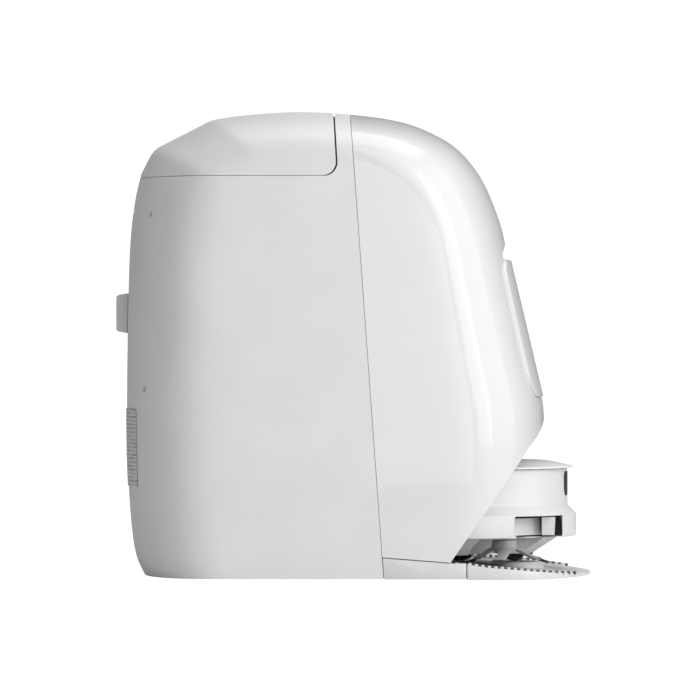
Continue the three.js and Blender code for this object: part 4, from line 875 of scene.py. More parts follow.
def ramp():
    """The ramp: a lane between two rims that follow its rounded outline, and a rest for the caster."""
    half, tip = RAMP.right, RAMP.front
    body = plate(ramp_plan(), 0, 40)
    rim = [tuple(p) for p in curve_through([(BASE_FRONT + r * (tip - BASE_FRONT), z) for r, z in RIM], 4)]
    top = across([*rim, (tip, RIM[-1][1]), (tip + 20, 1.2), (tip + 20, -5), (BASE_FRONT, -5)], -BIG, BIG)
    lane = across([(BASE_FRONT - 5, FLOOR_SURFACE - 1.5), (tip - 8, 2.6), (tip + 20, 2.6), (tip + 20, 60),
                   (BASE_FRONT - 5, 60)], -BIG, BIG)
    marks = [BASE_FRONT - 5 + 3 * k for k in range(80)]
    inner_half = {f: half_width_at(f) - RAIL_WIDTH for f in marks if f < tip}
    edge = [(inner, f) for f, inner in inner_half.items() if inner > half * LANE_MOUTH]
    edge.append((edge[-1][0], tip + 20))
    lane = common(lane, plate([(-x, f) for x, f in edge] + edge[::-1], -1, 70))
    caster = span("caster_fork")
    pad = upright(0, 0, 1.5, FLOOR_SURFACE, 38, 34, 64)
    pad.data.transform(Matrix.Translation((0, -caster.forward, 0)) @ Matrix.Diagonal((1, 0.72, 1, 1)))
    made = join(cut(common(body, top), lane), pad)
    piece("ramp", "station", RAMP_WHITE, made, "ramp", weld=0.15, bevel=0.4)


def ramp_plan():
    """The ramp's plan outline from its rear left corner round the tip to its rear right corner."""
    half, tip, start = RAMP.right, RAMP.front, BASE_FRONT + SEAM / 2
    marks = [(-1, 0), (-0.98, 0.46), (-0.76, 0.735), (-0.4, 0.93), (0, 1), (0.4, 0.93), (0.76, 0.735),
             (0.98, 0.46), (1, 0)]
    plan = [tuple(p) for p in curve_through([(a * half, start + r * (tip - start)) for a, r in marks], 8)]
    return plan + [(half, start)]


def half_width_at(forward):
    """Half the ramp's width at a forward distance."""
    side = [p for p in ramp_plan() if p[0] >= 0]
    return next((a[0] + (b[0] - a[0]) * (forward - a[1]) / (b[1] - a[1])
                 for a, b in zip(side, side[1:]) if b[1] <= forward <= a[1] and a[1] > b[1]), RAMP.right)


def ramp_teeth():
    """Anti-slip teeth along both rims of the lane: light ribs, with slightly lower near-black strips between
    them as painted shade for the gaps between the ribs.
    """
    count = int((RAMP.front - TEETH_SHORT - BASE_FRONT + TEETH_BACK) / TOOTH_PITCH)
    for side, sign in (("left", -1), ("right", 1)):
        ribs, shade_strips = [], []
        for k in range(count):
            forward = BASE_FRONT - TEETH_BACK + k * TOOTH_PITCH
            if abs(forward + 1 - BASE_FRONT) < 3.4:
                continue
            x = sign * (half_width_at(forward) - TOOTH_INSET)
            z = rim_height(max(forward, BASE_FRONT)) + TOOTH_RISE - 1.6
            ribs.append(small_box((x, -forward, z), (11, TOOTH_WIDTH, 3.2), 0.5))
            # Each dark strip sits in the gap after a rib: painted shade, not a real rubber pad.
            shade_strips.append(small_box((x, -forward - TOOTH_PITCH / 2, z - 0.35), (10, TOOTH_WIDTH, 3.0), 0.3))
        piece(f"grip_teeth_{side}", "station", RAMP_WHITE, gathered(ribs))
        piece(f"gap_shade_strips_{side}", "station", GAP_SHADE_GREY, gathered(shade_strips))


def feet():
    """The four rubber feet."""
    for corner in ("rear_left", "rear_right", "front_left", "front_right"):
        box = span(f"foot_{corner}")
        radius = (box.right - box.left) / 2
        profile = [(0, 0), (radius - 1.6, 0), (radius - 1.2, 0.2), (radius - 0.5, box.top), (0, box.top)]
        made = turned(profile, box.x, box.forward, 48)
        piece(f"foot_{corner}", "station", RUBBER_BLACK, made, f"foot_{corner}")


# ---------------------------------------------------------------- robot
UPPER_RADIUS, DECK_RADIUS = ROBOT_RADIUS - 9, ROBOT_RADIUS - 3
SKIRT_LOW, SKIRT_TOP = PARKED_LIFT + 26, PARKED_LIFT + 50
CHASSIS_Z = PARKED_LIFT + 9
BODY_TOP = ROBOT_TOP - 8
ARM_Z = PARKED_LIFT + 28
BUMPER_TRAVEL = 3
ARM_SWING = 28
WINDOW_HALF = 38
BUTTON_FORWARD = 96
TURRET = span("lidar_turret")


def near_rim(inset, degrees):
    """A place at the robot's right front, an angle away from straight ahead."""
    angle, r = math.radians(degrees), UPPER_RADIUS - inset
    return SimpleNamespace(x=-r * math.sin(angle), forward=ROBOT_CENTRE + r * math.cos(angle))


ARM, HUB = near_rim(26.4, 26.6), near_rim(23.6, 45)


POCKET, POCKET_RADIUS = SimpleNamespace(x=HUB.x - 4, forward=HUB.forward + 9), 46


def robot_turned(profile, steps=220):
    """A solid turned about the robot's own upright axis."""
    return turned(profile, 0, ROBOT_CENTRE, steps)


def bumper_zone(shift):
    """Everything forward of the bumper's rear edge."""
    return block(-BIG, BIG, ROBOT_CENTRE + 6 + shift, BIG, 0, BIG)


def arm_zone():
    """The notch in the bumper's skirt for the side brush's arm."""
    outline = rounded([(ARM.forward - 17.5, -5), (ARM.forward - 14.5, SKIRT_TOP - 2.6),
                       (ARM.forward + 34, SKIRT_TOP - 2.6), (ARM.forward + 34, -5)], [0, 2, 0, 0], 6)
    return across(outline, -BIG, ARM.x + 4)


def arm_room():
    """The space that the arm needs to swing in."""
    return block(-BIG, ARM.x + 18, HUB.forward - 18, ARM.forward + 36, PARKED_LIFT + 26, ARM_Z + 20)


def window_zone(grow):
    """The sensor window's outline, carried forward from the robot's middle."""
    half = WINDOW_HALF + grow
    outline = rectangle(-half, ROBOT_TOP - 34.5 - grow, half, ROBOT_TOP - 11 + grow, 8)
    return through(outline, ROBOT_CENTRE, BIG)


def robot_bumper():
    """The front half's band with its chamfered skirt, cut out for the brush arm and the sensor window."""
    band = robot_turned([
        (UPPER_RADIUS - 3, BODY_TOP + 0.1), (UPPER_RADIUS - 3, SKIRT_LOW), (ROBOT_RADIUS - 0.8, SKIRT_LOW),
        (ROBOT_RADIUS, SKIRT_LOW + 0.8), (ROBOT_RADIUS, SKIRT_TOP - 2.4),
        (ROBOT_RADIUS - 0.6, SKIRT_TOP - 1.4), (UPPER_RADIUS + 1.1, SKIRT_TOP + 6.4),
        (UPPER_RADIUS + 0.5, SKIRT_TOP + 7.6),
        (UPPER_RADIUS, BODY_TOP - 0.5), (UPPER_RADIUS - 0.6, BODY_TOP + 0.1)])
    made = cut(common(band, bumper_zone(BUMPER_TRAVEL + GAP)), arm_zone(), window_zone(GAP))
    piece("robot_bumper", "bumper", ROBOT_WHITE, made, "robot_bumper", weld=0.1, bevel=0.3)


def sensor_window():
    """The dark window in the bumper."""
    ring = robot_turned([(UPPER_RADIUS - 3, BODY_TOP), (UPPER_RADIUS - 3, SKIRT_TOP),
                         (UPPER_RADIUS + 0.4, SKIRT_TOP), (UPPER_RADIUS + 0.4, BODY_TOP)])
    made = common(ring, window_zone(0), bumper_zone(60))
    piece("sensor_window", "bumper", BLACK_GLASS, made, "sensor_window")


def robot_shell():
    """The robot's wall, thinner at the front to leave room for the bumper."""
    inside, skin = UPPER_RADIUS - 12, UPPER_RADIUS - 3
    wall = robot_turned([(inside, BODY_TOP), (inside, CHASSIS_Z + 19), (skin, CHASSIS_Z + 19),
                         (UPPER_RADIUS, CHASSIS_Z + 26), (UPPER_RADIUS, BODY_TOP - 0.6),
                         (UPPER_RADIUS - 0.6, BODY_TOP)])
    clear = skin - BUMPER_TRAVEL - 1.5
    room = common(cut(upright(0, ROBOT_CENTRE, -1, BODY_TOP + 1, BIG, steps=64),
                      upright(0, ROBOT_CENTRE, -2, BODY_TOP + 2, clear, steps=220)), bumper_zone(0))
    hollow = common(cut(upright(0, ROBOT_CENTRE, -1, BODY_TOP + 1, skin, steps=220),
                        upright(0, ROBOT_CENTRE, -2, BODY_TOP + 2, inside - 1, steps=220)),
                    block(-BIG, BIG, -BIG, ROBOT_CENTRE - 4, 0, BIG))
    made = cut(wall, room, hollow, arm_room())
    piece("robot_shell", "robot", ROBOT_WHITE, made, "robot_shell", weld=0.1, bevel=0.3)


def robot_deck():
    """The top cover with its thin lip, a button in it, and the ring that it seats on."""
    cover = robot_turned([
        (0, ROBOT_TOP - 4), (UPPER_RADIUS - 16, ROBOT_TOP - 5.5), (UPPER_RADIUS - 14, BODY_TOP + GAP),
        (UPPER_RADIUS - 2, BODY_TOP + GAP), (DECK_RADIUS - 0.3, ROBOT_TOP - 7.2),
        (DECK_RADIUS, ROBOT_TOP - 6.4), (DECK_RADIUS - 0.5, ROBOT_TOP - 5.5),
        (UPPER_RADIUS - 14, ROBOT_TOP - 0.9),
        (UPPER_RADIUS - 20, ROBOT_TOP - 0.1), (UPPER_RADIUS - 26, ROBOT_TOP), (0, ROBOT_TOP)])
    button = upright(0, ROBOT_CENTRE + BUTTON_FORWARD, ROBOT_TOP - 0.5, BIG, 7.4, steps=48)
    made = cut(cover, upright(0, TURRET.forward, 0, BIG, TURRET.right + 1.2, steps=144), button)
    # The top cover takes the lifted white: painted light against the overhang's shade.
    piece("robot_deck", "robot", SHADE_LIFTED_WHITE, made, "robot_deck", bevel=0.3)
    cap = turned([(0, ROBOT_TOP - 0.5), (6.8, ROBOT_TOP - 0.5), (6.8, ROBOT_TOP - 0.1),
                  (6.4, ROBOT_TOP + 0.2), (0, ROBOT_TOP + 0.35)], 0, ROBOT_CENTRE + BUTTON_FORWARD, 48)
    piece("deck_button", "robot", ROBOT_WHITE, cap)
    seat = robot_turned([(UPPER_RADIUS - 9, BODY_TOP - 6), (UPPER_RADIUS - 7.8, BODY_TOP - 6),
                         (UPPER_RADIUS - 7.8, BODY_TOP + 0.35), (UPPER_RADIUS - 9, BODY_TOP + 0.35)])
    piece("deck_seat", "robot", ROBOT_WHITE, seat)


def lidar_turret():
    """The scanner's turret: a dark slot all round, under a domed cap with a raised ring."""
    r, top = TURRET.right, TURRET.top
    slot_low, slot_top = ROBOT_TOP + 3, ROBOT_TOP + 8
    post = turned([(0, BODY_TOP - 30), (r, BODY_TOP - 30), (r, ROBOT_TOP + 0.2), (r - 0.8, ROBOT_TOP + 1),
                   (r - 5, slot_low), (r - 5, slot_top), (0, slot_top)], 0, TURRET.forward, 128)
    piece("lidar_turret", "robot", BLACK_GLASS, post, "lidar_turret")
    cap = turned([(0, slot_top + 0.05), (r - 5, slot_top + 0.05), (r, slot_top + 1.4), (r, slot_top + 2.2),
                  (r - 1.6, top - 0.6), (r - 4, top), (r - 8, top), (r - 8.6, top - 0.5),
                  (r - 9.4, top - 0.5), (r - 10, top - 0.1), (0, top)], 0, TURRET.forward, 128)
    # The cap takes the same lifted white: painted light against the overhang's shade.
    piece("turret_cap", "robot", SHADE_LIFTED_WHITE, cap)


def robot_chassis():
    """The underside pan, with openings for the wheels, brushes, mop shafts and caster."""
    pan = robot_turned([(0, CHASSIS_Z), (UPPER_RADIUS - 34, CHASSIS_Z), (UPPER_RADIUS - 10, CHASSIS_Z + 15.5),
                        (UPPER_RADIUS - 10, CHASSIS_Z + 17), (UPPER_RADIUS - 13, CHASSIS_Z + 17),
                        (UPPER_RADIUS - 36, CHASSIS_Z + 3), (0, CHASSIS_Z + 3)], 180)
    tools = []
    for node in ("drive_wheel_left", "drive_wheel_right"):
        w = span(node)
        tools.append(plate(rectangle(w.left - 3, w.back - 3, w.right + 3, w.front + 3, 4, 5), 0, BIG))
    roller = span("main_brush")
    roller_room = rectangle(roller.left - 3, roller.forward - 20, roller.right + 3, roller.forward + 20, 3, 5)
    tools.append(plate(roller_room, 0, BIG))
    tools += [upright(span(n).x, span(n).forward, 0, BIG, 9) for n in ("mop_left", "mop_right")]
    tools.append(upright(0, span("caster_fork").forward, 0, BIG, span("caster_fork").right + 1.5, steps=64))
    tools.append(upright(POCKET.x, POCKET.forward, 0, BIG, POCKET_RADIUS, steps=96))
    made = cut(pan, *tools)
    piece("robot_chassis", "robot", CHASSIS_GREY, made, "robot_chassis", weld=0.1, bevel=0.3)


def drive_wheels():
    """A tyre with chevron treads on a spoked hub."""
    for side in ("left", "right"):
        box = span(f"drive_wheel_{side}")
        radius, half = (box.top - box.low) / 2, (box.right - box.left) / 2
        tyre = spun([(radius - 11, -half + 1), (radius - 5, -half + 0.4), (radius - 2.6, -half + 1.6),
                     (radius - 1.6, -half + 4), (radius - 1.6, half - 4), (radius - 2.6, half - 1.6),
                     (radius - 5, half - 0.4), (radius - 11, half - 1)], 96, "X")
        lugs = [tyre]
        for i in range(26):
            for end in (-1, 1):
                lug = small_box((0, 0, 0), (half - 2.4, 3.6, 2.6))
                slant = Matrix.Rotation(end * 0.42, 3, "Z")
                bmesh.ops.rotate(lug, cent=(0, 0, 0), matrix=slant, verts=lug.verts)
                bmesh.ops.translate(lug, vec=(end * (half - 2.4) / 2, 0, radius - 1.35), verts=lug.verts)
                turn = Matrix.Rotation(math.tau * (i + (0.5 if end > 0 else 0)) / 26, 3, "X")
                bmesh.ops.rotate(lug, cent=(0, 0, 0), matrix=turn, verts=lug.verts)
                lugs.append(lug)
        whole = gathered(lugs)
        bmesh.ops.translate(whole, vec=(box.x, -box.forward, box.z), verts=whole.verts)
        piece(f"tyre_{side}", f"wheel_{side}", TYRE_RUBBER, whole, f"drive_wheel_{side}")
        hub = spun([(6, -half), (9, -half), (10, -half + 2), (radius - 13, -half + 3),
                    (radius - 11.2, -half + 1.5), (radius - 11.2, half - 1.5), (radius - 13, half - 3),
                    (10, half - 2), (9, half), (6, half)], 72, "X")
        bmesh.ops.translate(hub, vec=(box.x, -box.forward, box.z), verts=hub.verts)
        holes = []
        for i in range(6):
            angle = math.tau * i / 6
            holes.append(axle(box.x - 20, box.x + 20, box.forward + 16 * math.cos(angle),
                              box.z + 16 * math.sin(angle), 4.2, 24))
        piece(f"wheel_hub_{side}", f"wheel_{side}", DARK_PLASTIC, cut(solid(hub), *holes))


def mops():
    """Stuffed round mop pads of looped pile under a plastic carrier plate and shaft."""
    for side in ("left", "right"):
        box = span(f"mop_{side}")
        radius, low = (box.right - box.left) / 2, box.low
        top = PARKED_LIFT + 6
        profile = [(0, low + 0.6), (8, low + 0.2), (20, low + 0.1), (27, low + 0.9), (29, low + 0.9),
                   (38, low + 0.05), (52, low + 0.1), (58, low + 0.5), (radius - 2, low + 1.8),
                   (radius - 0.3, low + 3.4),
                   (radius - 0.6, low + 4.6), (radius - 3, top - 0.9), (0, top - 0.9)]
        bm = spun(profile, 120)
        for v in bm.verts:
            wave = noise.noise(Vector((v.co.x / 7, v.co.y / 7, v.co.z / 4)))
            if v.co.xy.length > radius - 4:
                v.co += Vector((v.co.x, v.co.y, 0)).normalized() * wave * 0.7
            v.co.z = max(v.co.z + wave * 0.25, low)
        bmesh.ops.translate(bm, vec=(box.x, -box.forward, 0), verts=bm.verts)
        bmesh.ops.recalc_face_normals(bm, faces=bm.faces)
        pad = piece(f"mop_{side}", f"mop_pad_{side}", CLOTH, bm, f"mop_{side}", sharp=60)
        shaft = turned([(0, top - 0.85), (54, top - 0.85), (54.5, top - 0.4), (54, top), (12, top + 0.2),
                        (8, top + 1.6), (6, top + 3), (6, box.top), (0, box.top)], box.x, box.forward, 96)
        piece(f"mop_carrier_{side}", f"mop_pad_{side}", DARK_PLASTIC, shaft)


def main_brush():
    """A roller with four thick helical rubber fins and four thin, taller ones between them."""
    box = span("main_brush")
    radius, half = (box.top - box.low) / 2, (box.right - box.left) / 2 - 5
    barrel = [(0, -half), (9, -half), (10, -half + 1), (10, half - 1), (9, half), (0, half)]
    core = gathered([spun(barrel, 64, "X"),
                     spun([(0, -half - 5), (5, -half - 5), (5, -half), (0, -half)], 32, "X"),
                     spun([(0, half), (5, half), (5, half + 5), (0, half + 5)], 32, "X")])
    fins = []
    for i in range(8):
        outer, thick = (radius, 1.7) if i % 2 else (radius - 1, 2.6)
        fins.append(helical_fin(math.tau * i / 8, half - 1.5, 9.5, outer, thick))
    for name, material, part in (("main_brush", BRUSH_GREY, core), ("roller_fins", BRISTLE, gathered(fins))):
        bmesh.ops.translate(part, vec=(0, -box.forward, box.z), verts=part.verts)
        bmesh.ops.recalc_face_normals(part, faces=part.faces)
        piece(name, "roller", material, part, "main_brush" if name == "main_brush" else ())


def helical_fin(start, half, inner, outer, thick, steps=40, twist=1.5):
    """A strip that winds along a roller, swept from end to end."""
    bm = bmesh.new()
    section = [(-half, thick / 2, inner), (-half, thick / 2 * 0.7, outer), (-half, -thick / 2 * 0.7, outer),
               (-half, -thick / 2, inner)]
    face = bm.faces.new([bm.verts.new(c) for c in section])
    bmesh.ops.rotate(bm, cent=(0, 0, 0), matrix=Matrix.Rotation(start, 3, "X"), verts=bm.verts)
    edges = list(face.edges)
    for _ in range(steps):
        grown = bmesh.ops.extrude_edge_only(bm, edges=edges)["geom"]
        verts, edges = moved_verts(grown), moved_edges(grown)
        bmesh.ops.translate(bm, vec=(2 * half / steps, 0, 0), verts=verts)
        bmesh.ops.rotate(bm, cent=(0, 0, 0), matrix=Matrix.Rotation(twist / steps, 3, "X"), verts=verts)
    bmesh.ops.contextual_create(bm, geom=edges)
    return bm


def side_brush_arm():
    """The arm from its pivot to the hub, with the shaft that the brush turns on."""
    length = math.hypot(HUB.x - ARM.x, HUB.forward - ARM.forward)
    turn = math.atan2(-(HUB.forward - ARM.forward), HUB.x - ARM.x)
    bar = prism([(x, y, 0) for x, y in rectangle(-13, -13, length + 13, 13, 12.9, 14)], (0, 0, 17))
    bar.data.transform(Matrix.Translation((ARM.x, -ARM.forward, ARM_Z)) @ Matrix.Rotation(turn, 4, "Z"))
    seat, hub_z = PARKED_LIFT + 25, PARKED_LIFT + 14
    nose = upright(HUB.x, HUB.forward, seat, ARM_Z + 1, 12, steps=64)
    shaft = upright(HUB.x, HUB.forward, hub_z + 0.4, seat + 0.5, 3, steps=32)
    piece("side_brush_arm", "brush_arm", ROBOT_WHITE, join(bar, nose, shaft), "side_brush_arm",
          bevel=0.6)


def brush_pocket():
    """The lining of the side brush's recess, with a slot for its arm's nose to swing along."""
    x, forward, low, top = POCKET.x, POCKET.forward, CHASSIS_Z, PARKED_LIFT + 26.5
    room = upright(x, forward, low - 1, top - 1, POCKET_RADIUS + 0.2, steps=96)
    cup = cut(upright(x, forward, low, top, POCKET_RADIUS + 1.2, steps=96), room)
    arm_x, arm_y = HUB.x - ARM.x, -(HUB.forward - ARM.forward)
    for degrees in range(-ARM_SWING, ARM_SWING + 1, 4):
        turn = math.radians(degrees)
        nose_x = ARM.x + arm_x * math.cos(turn) - arm_y * math.sin(turn)
        nose_forward = ARM.forward - arm_x * math.sin(turn) - arm_y * math.cos(turn)
        cup = cut(cup, upright(nose_x, nose_forward, top - 3, top + 3, 14))
    bowl = robot_turned([(0, CHASSIS_Z + 0.3), (UPPER_RADIUS - 34, CHASSIS_Z + 0.3),
                         (UPPER_RADIUS - 12, CHASSIS_Z + 14.5), (UPPER_RADIUS - 12, 90), (0, 90)], 180)
    cup = common(cup, bowl)
    piece("brush_pocket", "robot", CHASSIS_GREY, cup)
    outline = rounded([(ARM.forward + 13.6, ARM_Z), (ARM.forward + 26, ARM_Z),
                       (ARM.forward + 26.8, SKIRT_TOP - 4), (ARM.forward + 13.6, SKIRT_TOP - 4)], 0.8, 4)
    inside_skirt = robot_turned([(0, 0), (ROBOT_RADIUS - 1, 0), (ROBOT_RADIUS - 1, 90), (0, 90)])
    fairing = common(across(outline, ARM.x - 22, ARM.x + 2), inside_skirt)
    piece("arm_fairing", "robot", ROBOT_WHITE, fairing)


def notch_facing():
    """The dark inner face of the bumper's notch, in front of the arm's pocket."""
    ring = robot_turned([(UPPER_RADIUS - 4, ARM_Z - 1), (ROBOT_RADIUS - 1.5, ARM_Z - 1),
                         (ROBOT_RADIUS - 1.5, SKIRT_TOP - 3.4), (UPPER_RADIUS - 4, SKIRT_TOP - 3.4)])
    facing = block(ARM.x + 1.5, ARM.x + 3.8, ARM.forward + 22, ARM.forward + 33.6, 0, BIG)
    piece("bumper_notch", "bumper", RUBBER_BLACK, common(ring, facing))


def side_brush():
    """Three flat, curved, drooping arms round a hub, each with a fan of bristles at its end."""
    hub_z, seat, tip = PARKED_LIFT + 14, PARKED_LIFT + 25, PARKED_LIFT + 0.8
    reach, parts, tufts = 46, [], []
    hub = spun([(0, hub_z - 4), (7, hub_z - 4), (9, hub_z - 3.4), (12.8, hub_z + 2), (13, hub_z + 4),
                (11.6, seat - 1.9), (10.8, seat - 1.5), (4, seat - 1.5), (3.6, hub_z), (0, hub_z)], 64)
    for i in range(3):
        turn = Matrix.Rotation(math.radians(62 + 120 * i), 3, "Z")
        parts.append(drooping_arm(9, reach - 11, hub_z + 1.5, tip + 4.6, 12, 9.5, 3.2, turn))
        for k in range(14):
            spread = (k / 13 - 0.5)
            bristle = bristle_at(Vector((reach - 13, spread * 8.4 - 7.6, tip + 5)),
                                 Vector((reach - 0.4 - abs(spread) * 3, spread * 15 - 11.5, tip + 0.3)), 0.42)
            bmesh.ops.rotate(bristle, cent=(0, 0, 0), matrix=turn, verts=bristle.verts)
            tufts.append(bristle)
    for name, material, part in (("side_brush", BRUSH_GREY, gathered([hub, *parts])),
                                 ("side_bristles", BRISTLE, gathered(tufts))):
        bmesh.ops.translate(part, vec=(HUB.x, -HUB.forward, 0), verts=part.verts)
        bmesh.ops.recalc_face_normals(part, faces=part.faces)
        piece(name, "brush", material, part, "side_brush" if name == "side_brush" else ())


def drooping_arm(start, end, z_start, z_end, width, end_width, thick, turn, steps=14):
    """A flat arm that curves back and droops as it goes outwards."""
    bm = bmesh.new()
    section = ((-1, -0.4), (-0.7, -1), (0.7, -1), (1, -0.4), (1, 0.4), (0.7, 1), (-0.7, 1), (-1, 0.4))
    face = bm.faces.new([bm.verts.new((start, y * width / 2, z_start + z * thick / 2)) for y, z in section])
    edges = list(face.edges)
    swing = lambda t: Vector((start + (end - start) * t, -8.5 * t * t,
                              z_start + (z_end - z_start) * (3 * t * t - 2 * t ** 3)))
    for k in range(1, steps + 1):
        grown = bmesh.ops.extrude_edge_only(bm, edges=edges)["geom"]
        verts, edges = moved_verts(grown), moved_edges(grown)
        step = swing(k / steps) - swing((k - 1) / steps)
        ratio = (width + (end_width - width) * k / steps) / (width + (end_width - width) * (k - 1) / steps)
        bmesh.ops.translate(bm, vec=step, verts=verts)
        middle = Matrix.Translation(-swing(k / steps))
        bmesh.ops.scale(bm, vec=(1, ratio, 1), space=middle, verts=verts)
    bmesh.ops.contextual_create(bm, geom=edges)
    bmesh.ops.rotate(bm, cent=(0, 0, 0), matrix=turn, verts=bm.verts)
    return bm


def bristle_at(root, end, radius):
    """One thin bristle from root to end."""
    bm = bmesh.new()
    along = end - root
    bmesh.ops.create_cone(bm, cap_ends=True, segments=5, radius1=radius, radius2=radius * 0.5,
                          depth=along.length)
    matrix = Matrix.Translation((root + end) / 2) @ along.to_track_quat("Z", "Y").to_matrix().to_4x4()
    bmesh.ops.transform(bm, matrix=matrix, verts=bm.verts)
    return bm


def caster():
    """The caster's fork, and its crowned wheel on a pin."""
    wheel = span("caster_wheel")
    piece("caster_fork", "caster", DARK_PLASTIC, from_cad("caster_fork"), "caster_fork",
          bevel=0.5)
    radius, half = (wheel.top - wheel.low) / 2, (wheel.right - wheel.left) / 2 - 3
    tyre = spun([(0, -half), (5, -half), (7, -half + 1), (radius - 2, -half + 0.4),
                 (radius - 0.5, -half + 1.8), (radius, 0), (radius - 0.5, half - 1.8),
                 (radius - 2, half - 0.4), (7, half - 1), (5, half), (0, half)], 64, "X")
    pin = spun([(0, -half - 3), (2, -half - 3), (2, half + 3), (0, half + 3)], 24, "X")
    whole = gathered([tyre, pin])
    bmesh.ops.translate(whole, vec=(wheel.x, -wheel.forward, wheel.z), verts=whole.verts)
    bmesh.ops.recalc_face_normals(whole, faces=whole.faces)
    piece("caster_wheel", "caster_roller", TYRE_RUBBER, whole, "caster_wheel")


# ---------------------------------------------------------------- inside the station
KEPT_SHAPES = {
    "lid_hinge_bracket": ("dark_plastic", DARK_PLASTIC, 0.3), "lid_hinge_pin": ("steel", STEEL, 0.2),
    "bay_housing": ("inner_grey", INNER_GREY, 0.3), "inner_frame": ("inner_grey", INNER_GREY, 0.3),
    "charge_contact_left": ("steel", STEEL, 0.4), "charge_contact_right": ("steel", STEEL, 0.4),
    "clean_tank": ("smoked_tank", SMOKED, 0.5), "dirty_tank": ("smoked_tank", SMOKED, 0.5),
    "clean_tank_cover": ("dark_plastic", DARK_PLASTIC, 0.5),
    "dirty_tank_cover": ("dark_plastic", DARK_PLASTIC, 0.5),
    "clean_tank_handle": ("matte_shell", HANDLE_WHITE, 1.0),
    "dirty_tank_handle": ("matte_shell", HANDLE_WHITE, 1.0),
    "clean_fill_cap": ("dark_plastic", DARK_PLASTIC, 0.6), "dust_case": ("inner_grey", INNER_GREY, 0.4),
    "bag_collar": ("dark_plastic", DARK_PLASTIC, 0.4), "suction_blower": ("dark_plastic", DARK_PLASTIC, 1.0),
    "dust_duct": ("dark_plastic", DARK_PLASTIC, 0.0), "clean_water_pump": ("dark_plastic", DARK_PLASTIC, 0.7),
    "drain_pump": ("dark_plastic", DARK_PLASTIC, 0.7), "drying_fan": ("dark_plastic", DARK_PLASTIC, 0.7),
    "main_board": ("board_green", BOARD, 0.15), "power_supply": ("steel", STEEL, 1.0),
    "power_inlet": ("dark_plastic", DARK_PLASTIC, 0.3), "robot_dustbin": ("smoked_tank", SMOKED, 0.4),
    "robot_battery": ("dark_plastic", DARK_PLASTIC, 1.5), "robot_fan": ("dark_plastic", DARK_PLASTIC, 0.8),
}


def kept_shapes():
    """Pieces whose CAD shape is right: the same shape with broken edges and smooth shading."""
    for node, (slot, material, bevel) in KEPT_SHAPES.items():
        piece(node, rider(node), material, from_cad(node), node, bevel=bevel, sharp=38)


def dust_bag():
    """A filled paper bag: crowned on both faces, pinched at its side seams, with soft creases."""
    box = span("dust_bag")
    half = Vector(((box.right - box.left) / 2, (box.front - box.back) / 2, (box.top - box.low) / 2))
    bm = bmesh.new()
    bmesh.ops.create_cube(bm, size=2)
    bmesh.ops.subdivide_edges(bm, edges=bm.edges, cuts=31, use_grid_fill=True)
    for v in bm.verts:
        x, y, z = v.co
        flat = max(1 - abs(x) ** 4, 0) * max(1 - abs(z) ** 4, 0)
        thick = 0.16 + 0.84 * flat ** 0.42
        crease = noise.noise(Vector((x * 3.1, y * 0.7, z * 3.1))) * 0.05 * (1.2 - flat)
        ripple = 0.018 * math.sin(x * 24) * (1 - min(1, (1 - abs(z)) * 4)) + 0.018 * math.sin(z * 20) * (
            1 - min(1, (1 - abs(x)) * 4))
        round_off = 1 - 0.06 * (abs(x) * abs(z)) ** 6
        fullness = min(thick + crease + ripple, 1)
        v.co = Vector((x * half.x * round_off, y * half.y * fullness, z * half.z * round_off))
    bmesh.ops.smooth_vert(bm, verts=bm.verts, factor=0.5, use_axis_x=True, use_axis_y=True, use_axis_z=True)
    bmesh.ops.translate(bm, vec=(box.x, -box.forward, box.z), verts=bm.verts)
    bag = piece("dust_bag", "bag", BAG_PAPER, bm, "dust_bag", sharp=70)


def small_fittings():
    """Components on the main board, and black strips on the power supply's top: painted shade standing in for
    its vent slots.
    """
    board, supply = span("main_board"), span("power_supply")
    components = []
    draw = random.Random(7)
    for _ in range(26):
        width, height, depth = draw.uniform(2, 6), draw.uniform(2, 5), draw.uniform(1, 3)
        x, z = draw.uniform(board.left + 5, board.right - 5), draw.uniform(board.low + 4, board.top - 4)
        components.append(small_box((x, -board.back - 1.5 - depth / 2, z), (width, depth, height)))
    piece("board_parts", "station", DARK_PLASTIC, gathered(components))
    # Black strips laid on the supply's top, not cut: painted shade for the dark of open vent slots.
    slots = []
    for i in range(9):
        x = supply.left + 12 + i * (supply.right - supply.left - 24) / 8
        size = (3, supply.front - supply.back - 16, 0.6)
        slots.append(small_box((x, -supply.forward, supply.top + 0.2), size))
    piece("supply_vent_shade", "station", RUBBER_BLACK, gathered(slots))


# ---------------------------------------------------------------- stage
CAMERA_DISTANCE, CAMERA_HEIGHT, LENS, SENSOR = 6.868, 0.223, 353.0, 36.0
WORLD_LIGHT, WHITE_SEEN = 0.18, 1.1  # what the backdrop gives to the object, and what the camera sees of it


def soft_light(name, stand, aim, width, height, power):
    """A rectangular light aimed at a point."""
    data = bpy.data.lights.new(name, "AREA")
    data.shape = "RECTANGLE"
    data.size, data.size_y, data.energy = width, height, power
    obj = bpy.data.objects.new(name, data)
    obj.location = stand
    obj.rotation_euler = (Vector(aim) - Vector(stand)).to_track_quat("-Z", "Y").to_euler()
    bpy.context.scene.collection.objects.link(obj)


def for_camera(tree, usual, seen, output):
    """Shows the camera one shader, and everything else the usual one."""
    pick = tree.nodes.new("ShaderNodeMixShader")
    path = tree.nodes.new("ShaderNodeLightPath")
    link(tree, path, "Is Camera Ray", pick, "Fac")
    tree.links.new(usual.outputs[0], pick.inputs[1])
    tree.links.new(seen.outputs[0], pick.inputs[2])
    tree.links.new(pick.outputs[0], tree.nodes[output].inputs["Surface"])


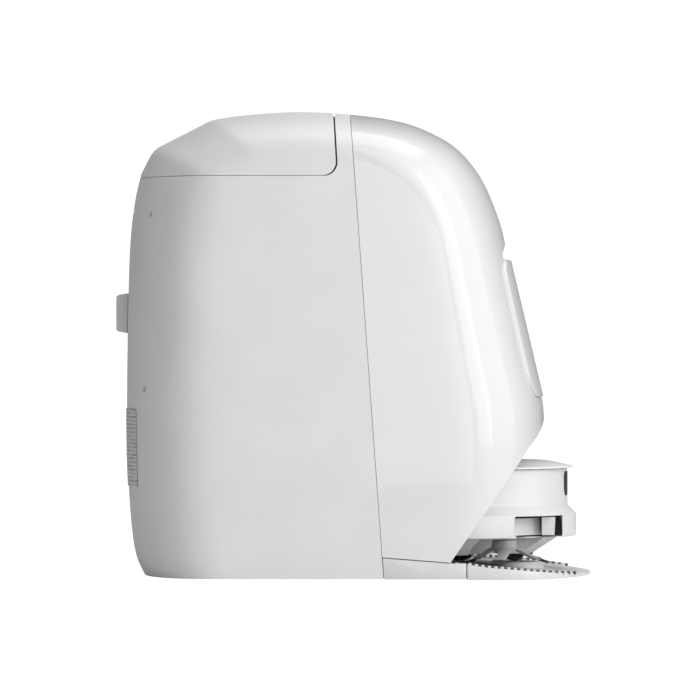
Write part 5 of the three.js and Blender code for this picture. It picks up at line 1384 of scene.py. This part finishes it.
def stage():
    """A white backdrop and floor, the soft lights, and the camera, square on to the station's side."""
    scene = bpy.context.scene
    scene.view_settings.view_transform = "Standard"
    scene.view_settings.look = "None"
    world = bpy.data.worlds.new("Studio")
    scene.world = world
    world.use_nodes = True
    tree = world.node_tree
    background = tree.nodes["Background"]
    seen = tree.nodes.new("ShaderNodeBackground")
    seen.inputs["Color"].default_value = (1, 1, 1, 1)
    seen.inputs["Strength"].default_value = WHITE_SEEN
    background.inputs["Color"].default_value = (1, 1, 1, 1)
    background.inputs["Strength"].default_value = WORLD_LIGHT
    for_camera(tree, background, seen, "World Output")
    floor_material, floor_tree, shader = node_tree("Floor")
    shader.inputs["Base Color"].default_value = (0.8, 0.8, 0.8, 1)
    shader.inputs["Roughness"].default_value = 0.9
    glow = floor_tree.nodes.new("ShaderNodeEmission")
    glow.inputs["Strength"].default_value = WHITE_SEEN
    for_camera(floor_tree, shader, glow, "Material Output")
    bm = bmesh.new()
    bmesh.ops.create_grid(bm, x_segments=1, y_segments=1, size=12)
    mesh = bpy.data.meshes.new("floor")
    bm.to_mesh(mesh)
    bm.free()
    mesh.materials.append(floor_material)
    floor = bpy.data.objects.new("floor", mesh)
    floor.location.z = -0.0005
    scene.collection.objects.link(floor)

    middle = (0, 0, 0.25)
    soft_light("key", (-2.6, -1.4, 2.0), middle, 2.4, 2.0, 23.5)
    soft_light("front_wall", (-0.5, -2.6, 1.25), middle, 3.0, 2.4, 24)
    soft_light("overhead", (0, -0.2, 2.6), middle, 2.6, 2.6, 40)
    soft_light("band", (-1.6, -1.7, 0.9), middle, 1.1, 1.6, 15)
    soft_light("low_side", (-2.4, -0.4, 0.35), middle, 1.6, 0.6, 7)
    soft_light("rear_rim", (0.9, 2.0, 1.0), (0, 0, 0.3), 0.8, 1.4, 3.5)

    camera = bpy.data.cameras.new("camera")
    camera.lens, camera.sensor_width = LENS, SENSOR
    camera.clip_start, camera.clip_end = 0.1, 40
    obj = bpy.data.objects.new("camera", camera)
    obj.location = (-CAMERA_DISTANCE, 0.0037, CAMERA_HEIGHT)
    obj.rotation_euler = (math.pi / 2, 0, -math.pi / 2)
    scene.collection.objects.link(obj)
    scene.camera = obj


# ---------------------------------------------------------------- making everything
for make in (rear_shell, seam_gaskets, top_lid, front_cover, front_panel, rear_spacer, rating_label,
             shell_screws, base_frame, wash_tray, ramp, ramp_teeth, feet, robot_bumper, sensor_window,
             robot_shell, robot_deck, lidar_turret, robot_chassis, drive_wheels, mops, main_brush,
             side_brush_arm, brush_pocket, notch_facing, side_brush, caster, kept_shapes, dust_bag,
             small_fittings, stage):
    make()
for scrap in WORKBENCH:
    bpy.data.objects.remove(scrap)
